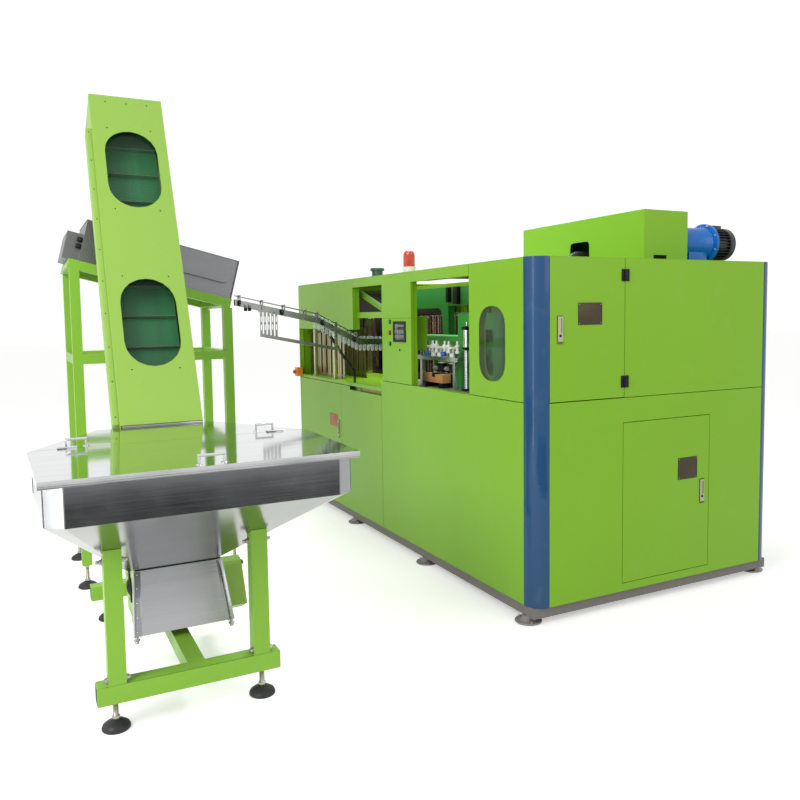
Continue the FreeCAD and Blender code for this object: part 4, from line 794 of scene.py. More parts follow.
# ---------------------------------------------------------------- feet and stands
@dataclass
class LevellingFeet:
    """Turned feet of the cabinet, of the hopper stand and of the unscrambler stand."""

    cabinet_x: tuple[float, ...] = (-110.0, -1300.0, -2525.0, -3705.0)
    cabinet_y: Pair = (37.0, 1868.0)
    stand_feet: tuple[Point, ...] = (
        (-14, -2185, 130), (-14, -1545, 130), (-1310, -2076, 130), (-1310, -1596, 130),
        (-1944, -2140, 150), (-1944, -1170, 150), (-2615, -2140, 150), (-2615, -1170, 150))
    thread_foot: float = 43.0
    thread_pitch: float = 4.0

    def build(self) -> None:
        """Build the cabinet's and the stands' feet."""
        self.cabinet()
        self.stands()

    def cabinet(self) -> None:
        """Wide cast discs with a coned back, a lock nut and two anchor bolts each."""
        discs, bolts = Form("cabinet_foot_discs"), Form("cabinet_foot_bolts")
        profile = ((0, 0), (74.5, 0), (77.2, 3), (77.2, 8), (74.5, 11), (60, 13), (42, 21), (35, 28),
                   (34, 40), (0, 40))
        for x in self.cabinet_x:
            for y in self.cabinet_y:
                discs.lathe(profile, (x, y, 0), steps=40)
                bolt_heads(bolts, [(x - 58, y - 20, 13), (x + 58, y - 20, 13)], UP)
        discs.place(FOOT_STEEL, "foot_steel", replaces="machine_feet")
        bolts.place(ZINC, "foot_steel")

    def stands(self) -> None:
        """Domed rubber discs, each with a bright threaded spindle and a nut at either end of it."""
        discs, threads, nuts = map(Form, ("stand_foot_discs", "stand_foot_spindles", "stand_foot_nuts"))
        profile = ((0, 0), (56, 0), (60, 4), (60, 10), (55, 20), (40, 31), (22, 39), (15, 44), (0, 44))
        for x, y, top in self.stand_feet:
            discs.lathe(profile, (x, y, 0), steps=36)
            turns = range(int((top - 44) / self.thread_pitch))
            thread = ribbed([self.thread_foot + turn * self.thread_pitch for turn in turns],
                            10.6, 12.0, self.thread_pitch / 2)
            threads.lathe([(0.0, self.thread_foot), *thread, (10.6, top), (0.0, top)], (x, y, 0), steps=16)
            for z in (45, top - 13):
                nuts.bar((x, y, z), (x, y, z + 12), 18, 6, 0.8)
        discs.place(RUBBER, "foot_steel", replaces="small_feet")
        threads.place(ZINC, "foot_steel")
        nuts.place(ZINC, "foot_steel")


@dataclass
class StandFittings:
    """Bolts that clamp the hopper stand's legs, and end caps of its beams."""

    leg_y: Pair = (-2177.0, -1553.0)
    bolts: tuple[Point, ...] = ((-12.0, 62.0, 728.0), (14.0, 52.0, 228.0))
    beam_ends: tuple[Point, ...] = (
        (0.0, -2260.0, -1.0), (0.0, -1470.0, 1.0), (-1310.0, -2171.0, -1.0), (-1310.0, -1501.0, 1.0))

    def build(self) -> None:
        """Build the bolts and the caps."""
        heads = Form("stand_bolts")
        for y in self.leg_y:
            for x, reach, z in self.bolts:
                for side in SIDES:
                    for start, end, radius, sides, edge in (
                            (36.5, 40, 17, 20, 0.5), (40, 50, 12, 6, 0.6), (50, reach + 2, 7.4, 16, 1.0)):
                        heads.bar((x, y + side * start, z), (x, y + side * end, z), radius, sides, edge)
        heads.place(ZINC, "foot_steel")
        caps = Form("beam_end_caps")
        for x, y, side in self.beam_ends:
            low, high = sorted((y + side * 0.2, y - side * 1.0))
            caps.box((x - 36, low - 0.8, 134), (x + 36, high + 0.8, 206), 1.2)
        caps.place(BLACK_PLASTIC, "black_paint")


# ---------------------------------------------------------------- cabinet
@dataclass
class BlankPlates:
    """Bare bronze and copper plates with a raised rim and four rivets each."""

    plates: tuple[tuple[str, Finish, float, float, float, float], ...] = (
        ("end_upper", BRONZE, 296.0, 468.0, 1673.0, 1797.0),
        ("end_lower", BRONZE, 1070.0, 1231.0, 718.0, 852.0),
        ("front", COPPER, -3010.0, -2830.0, 780.0, 890.0))
    rim: float = 4.0
    inset: float = 9.0

    def build(self) -> None:
        """Build each plate with its rivets."""
        for name, finish, u0, u1, z0, z1 in self.plates:
            body, rim, inset = name + "_door_body", self.rim, self.inset
            plate = Form(name + "_blank_plate", DOOR_FACING[name]).box((u0, -0.2, z0), (u1, 1.2, z1), 0.5)
            plate.ring(rectangle(u0, u1, z0, z1, 1.1),
                       rectangle(u0 + rim, u1 - rim, z0 + rim, z1 - rim, 1.1), (0, 0.8, 0), 0.3)
            plate.place(finish, "strut_black", body)
            seats = [(u, 1.2, z) for u in (u0 + inset, u1 - inset) for z in (z0 + inset, z1 - inset)]
            rivets = screw_heads(Form(name + "_plate_rivets", DOOR_FACING[name]), seats, ALONG_Y, 2.6)
            rivets.place(ZINC, "bright_steel", body)


@dataclass
class DoorFittings:
    """Lock frames, lever buttons and black exposed hinges of the doors."""

    locks: tuple[tuple[str, float, float], ...] = (
        ("end_upper", 171.0, 1572.0), ("end_lower", 1274.0, 552.0), ("front", -2806.0, 690.0))
    hinge_axis: Pair = (6.5, 638.0)
    hinge_z: Pair = (1308.0, 1918.0)
    hinge_height: float = 68.0
    knuckle: float = 6.9

    def build(self) -> None:
        """Build the locks and the hinges."""
        for name, centre, z0 in self.locks:
            self.lock(name, centre, z0)
        self.hinges()

    def lock(self, name: str, centre: float, z0: float) -> None:
        """Slim painted rim round a lever pocket, and the black button of its lever.

        Args:
            name: Door that the lock is in.
            centre: Middle of the lock along the panel.
            z0: Lower end of the pocket.
        """
        rim = Form(name + "_lock_rim", DOOR_FACING[name])
        rim.ring(rectangle(centre - 25, centre + 25, z0 - 4, z0 + 158, -0.2),
                 rectangle(centre - 21.2, centre + 21.2, z0 - 0.2, z0 + 154.2, -0.2), (0, 1.6, 0), 0.5)
        rim.place(LIME, "green_paint", name + "_door_body")
        grip = Form(name + "_lever_button", DOOR_FACING[name])
        grip.lathe(((0, 5.0), (8, 5.0), (8, 7.6), (6.6, 8.6), (0, 8.9)), (centre, 0, z0 + 44), ALONG_Y, 24)
        grip.place(BLACK_PLASTIC, "black_paint", name.replace("end_", "") + "_lever_body")

    def hinges(self) -> None:
        """Black shells over the wings and knuckles of the upper door's two hinges."""
        x, y = self.hinge_axis
        third = self.hinge_height / 3
        fixed, swinging = Form("hinge_fixed_halves"), Form("hinge_door_halves")
        for z in self.hinge_z:
            top = z + self.hinge_height
            low, high = z + third + 0.2, top - third - 0.2
            fixed.box((-0.1, y + 7.6, z - 0.4), (4.6, y + 29.4, top + 0.4), 1.0)
            for foot, head in ((z - 0.4, z + third - 0.1), (top - third + 0.1, top + 0.4)):
                fixed.bar((x, y, foot), (x, y, head), self.knuckle, 20, 0.6)
                fixed.box((0.2, y + 1, foot), (6.6, y + 8.4, head), 0.5)
            swinging.box((-0.1, y - 27.4, z - 0.4), (4.6, y - 7.4, top + 0.4), 1.0)
            swinging.bar((x, y, low), (x, y, high), self.knuckle, 20, 0.6)
            swinging.box((0.2, y - 8.4, low), (6.6, y - 1, high), 0.5)
            for half, shift in ((fixed, 22), (swinging, -20)):
                screw_heads(half, [(4.5, y + shift, z + 12), (4.5, y + shift, top - 12)], ALONG_X, 3.4)
        fixed.place(BLACK_PAINT, "black_paint")
        swinging.place(BLACK_PAINT, "black_paint", "end_upper_door_body")


@dataclass
class OperatorPanel:
    """Screen glass, blank key fields and button collars on the control column."""

    buttons_x: float = -1765.0
    buttons_z: Point = (1697.0, 1616.0, 1535.0)
    glass: tuple[float, float, float, float] = (-1688.0, -1526.0, 1568.0, 1682.0)
    seam_z: float = 1722.0

    def build(self) -> None:
        """Build the glass, its fields, the collars, the key switch and the panel's seam."""
        x0, x1, z0, z1 = self.glass
        glass = Form("screen_glass", FRONT_FACING).box((x0, 2.8, z0), (x1, 3.6, z1), 0.3)
        glass.place(SCREEN_GLASS, "screen_black")
        fields = Form("screen_fields", FRONT_FACING).box((x0 + 8, 3.5, z1 - 22), (x1 - 8, 3.8, z1 - 8), 0.1)
        for column in range(4):
            for row in range(2):
                left, low = x0 + 8 + column * 37.2, z0 + 10 + row * 34
                fields.box((left, 3.5, low), (left + 32, 3.8, low + 26), 0.1)
        fields.place(SCREEN_FIELD, "screen_black")
        collars = Form("button_collars", FRONT_FACING)
        ring = ((11.6, -0.2), (17.0, -0.2), (17.0, 5.2), (15.4, 6.8), (12.4, 6.8), (11.6, 6.0), (11.6, -0.2))
        for z in self.buttons_z:
            collars.lathe(ring, (self.buttons_x, 0, z), ALONG_Y)
        collars.place(BLACK_PLASTIC, "black_paint")
        switch = Form("key_switch", FRONT_FACING)
        switch.lathe(((0, -0.2), (9, -0.2), (9, 2), (7, 4), (0, 4)), (-1607, 0, 1492), ALONG_Y, 24)
        switch.place(BLACK_PLASTIC, "black_paint")
        # the seam is a thin strip in painted shade, standing in for the shade in the panel's groove
        seam = Form("column_seam", FRONT_FACING)
        seam.box((COLUMN_LEFT + 3, -0.1, self.seam_z), (-1433, 0.35, self.seam_z + 2.2), 0.1)
        seam.place(SEAM_SHADOW, "green_paint")


@dataclass
class RoofFittings:
    """Fan drive, motor, beacon, breather cap and cable elbow on the roof."""

    fan_x: float = -320.0
    fan_z: float = 2185.0
    fan_y: Point = (1342.0, 1622.0, 1810.0)
    beacon: Pair = (-1560.0, 60.0)
    breather: Pair = (-2130.0, 75.0)
    elbow: Point = (-806.0, 903.0, CABINET_TOP)
    bolt_circle: float = 118.0
    bolts: int = 8
    fins: int = 30

    def build(self) -> None:
        """Build everything that stands on the roof."""
        self.drive_housing()
        self.motor()
        self.small_fittings()

    def drive_housing(self) -> None:
        """Blue round housing with its flange, its saddle and a ring of flange bolts."""
        x, z, (y0, y1, _) = self.fan_x, self.fan_z, self.fan_y
        housing = Form("fan_drive_housing")
        housing.lathe(((0, y0), (105, y0), (105, y0 + 14), (101, y0 + 18), (101, y1 - 52), (108, y1 - 40),
                       (108, y1 - 24), (127, y1 - 22), (130, y1 - 19), (130, y1 - 2), (128, y1), (0, y1)),
                      (x, 0.0, z), ALONG_Y, 56)
        housing.box((x - 80, y0 + 60, CABINET_TOP), (x + 80, y1 - 60, z - 60), 4)
        housing.place(FAN_BLUE, "blue_enamel", replaces="fan_housing")
        bolts = Form("fan_flange_bolts")
        for step in range(self.bolts):
            angle = math.tau * (step + 0.5) / self.bolts
            u, v = x + self.bolt_circle * math.cos(angle), z + self.bolt_circle * math.sin(angle)
            bolt_heads(bolts, [(u, y1 - 22, v)], (0, -1, 0))
            bolt_heads(bolts, [(u, y1, v)], ALONG_Y)
        bolts.place(ZINC, "foot_steel")

    def motor(self) -> None:
        """Black motor with cooling fins, terminal box and slotted cowl."""
        x, z, (_, y1, y2) = self.fan_x, self.fan_z, self.fan_y
        cowl_y, foot = y2 - 44, (x, 0.0, z)
        motor = Form("fan_motor_body")
        motor.lathe(((0, y1), (100, y1), (100, y1 + 10), (86, y1 + 14), (86, cowl_y - 4), (0, cowl_y - 4)),
                    foot, ALONG_Y, 48)
        motor.lathe(((0, cowl_y - 8), (104, cowl_y - 8), (106, cowl_y - 5), (106, y2 - 10), (100, y2 - 3),
                     (88, y2), (0, y2)), foot, ALONG_Y, 48)
        for step in range(self.fins):
            angle = math.tau * step / self.fins
            if abs(math.sin(angle) - 1.0) >= 0.12:  # none under the terminal box
                motor.layout = Matrix.Translation(foot) @ Matrix.Rotation(-angle, 4, "Y")
                motor.box((82, y1 + 14, -1.6), (105, cowl_y - 8, 1.6), 0.6, 1)
        motor.layout = UPRIGHT
        motor.box((x - 45, y1 + 20, z + 80), (x + 45, y1 + 110, z + 119), 4)
        motor.place(MOTOR_BLACK, "black_paint", replaces="fan_motor")
        grille = Form("fan_cowl_grille")
        for radius in (24.0, 44.0, 64.0, 82.0):
            grille.lathe(((radius, y2 - 0.2), (radius + 5, y2 - 0.2), (radius + 5, y2 + 0.9),
                          (radius, y2 + 0.9), (radius, y2 - 0.2)), foot, ALONG_Y, 40)
        grille.place(BLACK_PLASTIC, "black_paint")

    def small_fittings(self) -> None:
        """Red ribbed beacon on a white socket, dark green breather cap and fixed black conduit elbow."""
        x, y = self.beacon
        lens = Form("beacon_lens").lathe(
            [(0.0, 0.0), (43.2, 0.0), (43.2, 2.0), *ribbed(range(3, 87, 6), 42.6, 40.8, 3.0), (41, 90),
             (37, 104), (27, 115), (14, 121), (0, 122.6)], (x, y, CABINET_TOP + 38), steps=40)
        lens.place(RED_LENS, "red_lens", replaces="beacon_dome")
        socket = Form("beacon_socket").lathe(
            ((46.2, 0), (49, 0), (49, 6), (47.4, 8), (47.4, 37.6), (46.2, 38.6), (43.4, 39.6),
             (43.4, 37.5), (46.2, 37.5), (46.2, 0)), (x, y, CABINET_TOP), steps=40)
        socket.place(WHITE_PLASTIC, "red_lens")
        cap = Form("breather").lathe(
            ((0, 0), (50, 0), (50, 4), (43, 6), (43, 43), (53, 44), (55, 46), (55, 62), (52, 66),
             (30, 67.6), (0, 68)), (*self.breather, CABINET_TOP), steps=36)
        cap.place(CAP_GREEN, "cap_green", replaces="vent_cap")
        elbow = Form("conduit_elbow").pipe(
            ((-800, 1120, 2118), (-800, 1010, 2122), (-800, 925, 2128), (-806, 905, 2060), self.elbow),
            34, 20)
        elbow.lathe(((0, 0), (52, 0), (52, 6), (44, 10), (44, 30), (0, 30)), self.elbow, steps=28)
        elbow.place(RUBBER, "black_paint")


@dataclass
class CoverScrews:
    """Rows of small flat screws round the screwed skins of the back and of the left end."""

    seams: tuple[Pair, ...] = ((102.0, 1400.0), (1404.0, 2600.0), (2604.0, 3758.0))
    levels: tuple[Pair, ...] = ((102.0, 1246.0), (1250.0, 2046.0))
    left_end: tuple[float, float, float, float] = (6.0, CABINET_DEPTH - 34, 102.0, 2046.0)
    inset: float = 14.0
    pitch: float = 320.0

    def build(self) -> None:
        """Build the screws of the back and of the left end."""
        back = [seam + level for seam in self.seams for level in self.levels]
        for name, layout, skins in (("back_screws", BACK_FACING, back),
                                    ("left_end_screws", LEFT_FACING, [self.left_end])):
            screws = Form(name, layout)
            for skin in skins:
                screw_heads(screws, self.rim(*skin), ALONG_Y, rise=0.1)
            screws.place(ZINC, "foot_steel")

    def rim(self, u0: float, u1: float, z0: float, z1: float) -> list[Point]:
        """Seats along the edges of one skin.

        Args:
            u0: Left edge.
            u1: Right edge.
            z0: Lower edge.
            z1: Upper edge.

        Returns:
            The seats.
        """
        a, b, c, d = u0 + self.inset, u1 - self.inset, z0 + self.inset, z1 - self.inset
        across = [(u, 0.0, z) for u in steps_between(a, b, self.pitch) for z in (c, d)]
        return across + [(u, 0.0, z) for z in steps_between(c, d, self.pitch)[1:-1] for u in (a, b)]


# ---------------------------------------------------------------- elevator and hopper
@dataclass
class ElevatorFittings:
    """Screws, flange bearings, side channel, cleat tips and window hems of the leaning elevator."""

    drums_at: Pair = (262.0, 2985.0)
    drum_depth: float = -200.0
    half_width: float = 210.0
    window: Pair = (298.0, 532.0)
    cleats: int = 14
    cleat_pitch: float = 190.0

    def build(self) -> None:
        """Build the fittings."""
        self.screws()
        self.bearings()
        self.side_channel()
        self.tips_and_hems()

    def screws(self) -> None:
        """Small dark screws above and below each window, along the head and down the cheeks."""
        seats = [(2.0, y, at + z) for at in ELEVATOR_WINDOWS for z in (-282, 282) for y in (-125, 125)]
        seats += [(2.0, y, ELEVATOR_LENGTH - 48) for y in (-120, 0, 120)]
        cover = screw_heads(Form("elevator_cover_screws", LEANING), seats, ALONG_X, 3.8)
        cover.place(BLACK_PAINT, "foot_steel")
        cheeks = Form("elevator_cheek_screws", LEANING)
        for side in SIDES:
            screw_heads(cheeks, [(-384, side * self.half_width, z)
                                 for z in steps_between(1300, ELEVATOR_LENGTH - 40, 460)], (0, side, 0), 4.2)
        cheeks.place(ZINC, "foot_steel")

    def bearings(self) -> None:
        """Cast flange bearings of both drums with their bolts, and the cap of the head drum's shaft."""
        housings, bolts = Form("drum_bearings", LEANING), Form("drum_bearing_bolts", LEANING)
        profile = ((18, 0), (46, 0), (46, 7), (40, 10), (32, 14), (27, 18), (17, 18), (16, 17), (16, 0),
                   (18, 0))
        x, skin = self.drum_depth, self.half_width + 0.2
        for at, side in zip(self.drums_at, SIDES):
            housings.lathe(profile, (x, side * skin, at), (0, side, 0), 36)
            near, far = sorted((side * skin, side * 217))
            for z in (at - 62, at + 62):
                housings.box((x - 16, near, z - 18), (x + 16, far, z + 18), 4)
                bolt_heads(bolts, [(x, side * 217, z)], (0, side, 0))
        housings.place(BLACK_PAINT, "black_paint")
        bolts.place(ZINC, "foot_steel")
        cap = Form("head_shaft_cap", LEANING)
        cap.lathe(((0, 0), (26, 0), (26, 2), (24, 3.2), (0, 3.6)), (x, -skin, self.drums_at[1]),
                  (0, -1, 0), 28)
        cap.place(ELEVATOR_LIME_PAINTED_LIGHT, "green_paint")

    def side_channel(self) -> None:
        """Folded channel down the cover's left cheek, with its screws."""
        low, high = COVER_FROM + 14, ELEVATOR_LENGTH - 246
        outer, inner = -COVER_HALF - 32.0, -COVER_HALF - 0.3
        channel = Form("cover_side_channel", LEANING)
        channel.prism([(-10, outer, low), (-10, inner, low), (-13, inner, low), (-13, outer + 3, low),
                       (-85, outer + 3, low), (-85, inner, low), (-88, inner, low), (-88, outer, low)],
                      (0, 0, high - low), 0.8)
        channel.box((-88, outer, low - 2), (-10, inner, low), 0.4)
        channel.place(ELEVATOR_LIME_PAINTED_LIGHT, "green_paint")
        seats = [(-10, (outer + inner) / 2, z) for z in steps_between(low + 40, high - 28, 195)]
        screws = screw_heads(Form("side_channel_screws", LEANING), seats, ALONG_X, 3.4)
        screws.place(BLACK_PAINT, "foot_steel")

    def tips_and_hems(self) -> None:
        """Pale wear strips on the cleats of the belt's rising run, and slim hems round both windows."""
        strips = Form("cleat_tips", LEANING)
        for step in range(self.cleats):
            at = self.drums_at[0] + self.cleat_pitch * (step + 0.7)
            strips.box((-110.6, -161, at + 0.6), (-109.0, 161, at + 4.2), 0.4, 1)
        strips.place(WEAR_STRIP, "belt_green")
        width, height = self.window
        for number, at in enumerate(ELEVATOR_WINDOWS, 1):
            outer, inner = ([(-1.0, u, at + v) for u, v in obround(width + grow, height + grow)]
                            for grow in (5.0, 0.4))
            hem = Form("elevator_window_hem_%d" % number, LEANING).ring(outer, inner, (3.6, 0, 0), 0.5)
            hem.place(ELEVATOR_LIME_PAINTED_LIGHT, "green_paint")


@dataclass
class HopperFittings:
    """Handle plates, bin seams, elevator collar, and the apron's edges, rivets and tension nuts."""

    flap_handle: Point = (415.0, -1840.0, 53.0)
    lid_handles: Point = (-300.0, 430.0, 45.0)
    corners: tuple[Pair, ...] = ((440.0, 525.0), (395.0, 592.0), (-240.0, 612.0), (-790.0, 285.0))

    def build(self) -> None:
        """Build the fittings."""
        self.handle_plates()
        self.bin_fittings()
        self.apron_fittings()

    def handle_plates(self) -> None:
        """Round plates under the feet of the three bar handles."""
        plate = ((0, -0.3), (13, -0.3), (13, 2.2), (11, 3.2), (0, 3.2))
        x0, middle, half0 = self.flap_handle
        x1, reach, half1 = self.lid_handles
        for name, x, handles, half, body in (
                ("flap_handle_plates", x0, (middle,), half0, "hopper_flap_body"),
                ("lid_handle_plates", x1, (BIN_Y - reach, BIN_Y + reach), half1, "machine")):
            plates = Form(name)
            for y in handles:
                for side in SIDES:
                    plates.lathe(plate, (x, y + side * (half - 4), LID_TOP), steps=24)
            plates.place(CHROME, "bright_steel", body)

    def bin_fittings(self) -> None:
        """Weld seams down the bin's upright corners, and a folded angle between rear lid and elevator."""
        seams = Form("bin_seams")
        for x, half in self.corners:
            for y in (BIN_Y - half, BIN_Y + half):
                seams.bar((x, y, 1003), (x, y, 1150), 2.4, 10)
        seams.place(BIN_STEEL_PAINTED_DARK, "stainless")
        angle = Form("lid_collar").prism(
            [(x, -2024, LID_TOP + z) for x, z in ((-791, 1), (-752, 1), (-752, 3), (-788, 3), (-788, 10),
                                                  (-791, 10))], (0, 408, 0), 0.5)
        angle.place(BIN_STEEL_PAINTED_DARK, "stainless")

    def apron_fittings(self) -> None:
        """Stiffening strips and rivets down both tapering edges of the apron, and its tension nuts."""
        edges = Form("apron_edges", LEANING)
        for side in SIDES:
            edges.prism([(4.8, side * y, z) for y, z in ((234, 2), (204, 2), (184, 300), (213, 300))],
                        (2.4, 0, 0), 0.6)
        edges.place(BIN_STEEL_PAINTED_DARK, "stainless")
        seats = [(7.2, side * (236 - z * 22 / 303 - 14), z) for z in steps_between(20, 285, 66)
                 for side in SIDES]
        screw_heads(Form("apron_rivets", LEANING), seats, ALONG_X, 3.6).place(ZINC, "foot_steel")
        nuts = Form("tension_nuts", LEANING)
        for y in (-226, 226):
            nuts.bar((-20, y, -18), (-20, y, -8), 15, 6, 0.6).bar((-20, y, -30), (-20, y, -18), 9.2, 20, 1.0)
        nuts.place(ZINC, "foot_steel")


# ---------------------------------------------------------------- unscrambler and rail
@dataclass
class UnscramblerFittings:
    """Hems, screws and knobs of the sloping trough."""

    hem: float = 7.0
    screws_z: tuple[float, ...] = (254, 184, 114, 44)
    knobs_z: Pair = (96, 140)

    def build(self) -> None:
        """Build the fittings."""
        half, low, high = self.hem / 2, TROUGH_HEIGHT - 3, TROUGH_HEIGHT + 3
        hems = Form("trough_hems", SLOPING)
        for x in (-TROUGH_WIDTH, 0.0):
            hems.box((x - half, -2, low), (x + half, TROUGH_LENGTH + 2, high), 1.5)
        for y in (0.0, TROUGH_LENGTH):
            hems.box((-TROUGH_WIDTH, y - half, low), (0, y + half, high), 1.5)
        hems.place(TROUGH_GREY, "trough_grey")
        screws = Form("trough_screws", SLOPING)
        screw_heads(screws, [(7, TROUGH_LENGTH - 4, z) for z in self.screws_z], (0, -1, 0), 4.2)
        screw_heads(screws, [(-10, TROUGH_LENGTH, z) for z in self.screws_z], ALONG_Y, 4.2)
        screws.place(BLACK_PAINT, "black_paint")
        knobs = Form("trough_knobs", SLOPING)
        profile = ((0, 0), (12, 0), (12, 6), (16, 8), (16, 30), (13, 35), (0, 36))
        for z in self.knobs_z:
            knobs.lathe(profile, (-40, 0, z), (0, -1, 0), 20)
        knobs.place(BLACK_PLASTIC, "black_paint")


@dataclass
class FeedRailFittings:
    """Clear preforms in the rail, its light barriers and the caps of its adjusting knobs."""

    preform: tuple[Pair, ...] = (
        (0, 19.6), (10.4, 19.6), (11.4, 18.6), (11.4, 13), (12.6, 12.2), (12.6, 10.4), (11.4, 9.6), (11.4, 4),
        (16.4, 3.4), (16.4, 0.2), (12.2, -0.6), (12.8, -14), (12.8, -82), (10.6, -91), (6, -96), (0, -97.4))
    spacing: float = 36.0
    first: float = 640.0
    last: float = 24.0
    knob_y: Pair = (-955.0, -925.0)
    sensors: tuple[float, ...] = (30.0, 360.0, 700.0, 1000.0)

    def build(self) -> None:
        """Build the preforms, the light-barrier heads on the right side bar and the knobs' black grips."""
        preforms = Form("rail_preforms")
        length = sum(math.dist(a, b) for a, b in zip(RAIL_PATH, RAIL_PATH[1:]))
        for station in steps_between(self.first, length - self.last, self.spacing):
            preforms.lathe(self.preform, self.at(station), steps=14)
        preforms.place(BOTTLE_CLEAR, "clear_glass")
        heads, lenses = Form("rail_sensors"), Form("rail_sensor_caps")
        for x, y, z in map(self.at, self.sensors):
            heads.box((x + 22, y - 9, z - 34), (x + 46, y + 9, z - 2), 1.5)
            heads.box((x + 22, y - 13, z - 44), (x + 28, y + 13, z - 10), 1.0)
            lenses.bar((x + 46, y, z - 18), (x + 51, y, z - 18), 5.5, 16, 0.8)
        heads.place(BLACK_PLASTIC, "black_paint")
        lenses.place(BLUE_PLASTIC, "blue_enamel")
        caps = Form("rail_knob_caps")
        grip = ((0, 0), (11, 0), (13.5, 3), (13.5, 22), (10, 26), (0, 27))
        for y in self.knob_y:
            caps.lathe(grip, (RAIL_X + 26, y, 1818), (0, 0, -1), 12)
        caps.place(BLACK_PLASTIC, "black_paint", smooth=20)

    def at(self, station: float) -> Point:
        """Point on top of the rail's side bars.

        Args:
            station: Distance down the rail.

        Returns:
            The point.
        """
        for (y0, z0), (y1, z1) in zip(RAIL_PATH, RAIL_PATH[1:]):
            run = math.dist((y0, z0), (y1, z1))
            if station <= run:
                share = station / run
                return (RAIL_X, y0 + (y1 - y0) * share, z0 + (z1 - z0) * share)
            station -= run
        return (RAIL_X, *RAIL_PATH[-1])


# ---------------------------------------------------------------- what shows through the openings
@dataclass
class EntryFittings:
    """Post sleeves, rear guard strips, a dark sheet inside the left end, bank base and tray lip behind the
    entry.
    """

    posts: tuple[Pair, ...] = ((-3451.0, 1770.0), (-2961.0, 1720.0))
    half: float = 11.8
    strip_x: Pair = (-3730.0, -2920.0)
    strip_y: float = 300.0
    strip_pitch: float = 54.0
    strip_top: float = 1640.0

    def build(self) -> None:
        """Build the sleeves, the row of khaki strips between two bars and the folded sheets."""
        sleeves = Form("guard_post_sleeves")
        for x, top in self.posts:
            sleeves.box((x - self.half, 26.2, DECK_TOP), (x + self.half, 47.8, top + 0.6), 1.4)
            sleeves.box((x - 26, 18, DECK_TOP), (x + 26, 56, DECK_TOP + 5), 1.2)
        sleeves.place(BEIGE, "stainless")
        left, right = self.strip_x
        y, top = self.strip_y, self.strip_top
        strips = Form("rear_guard_strips")
        for number, x in enumerate(steps_between(left, right, self.strip_pitch)):
            step = number % 2 * 5.0
            strips.box((x - 25, y + step, DECK_TOP), (x + 25, y + 3 + step, top), 0.8)
        for low, high in ((DECK_TOP, DECK_TOP + 34), (top - 40, top)):
            strips.box((left - 25, y + 9, low), (right + 25, y + 16, high), 1)
        strips.place(KHAKI, "stainless")
        # dark folded sheet just inside the left end; it darkens what shows past the heating bank
        shield = Form("left_end_dark_sheet").prism(
            [(x, y, DECK_TOP + 2) for x, y in ((-3738, 160), (-3700, 160), (-3700, 163), (-3735, 163),
                                               (-3735, 1737), (-3700, 1737), (-3700, 1740), (-3738, 1740))],
            (0, 0, 780), 0.6)
        shield.place(DARK_END_SHEET, "stainless")
        base = Form("heating_bank_base").box((-3700, 640, DECK_TOP), (-2010, 944, DECK_TOP + 14), 2)
        base.place(BLACK_PAINT, "black_paint")
        tray = Form("roller_tray_lip").box((-2516, 30, 1096), (-1910, 32.5, 1184), 0.8)
        tray.box((-2516, 30, 1094), (-1910, 52, 1097), 0.8).place(KHAKI, "stainless")


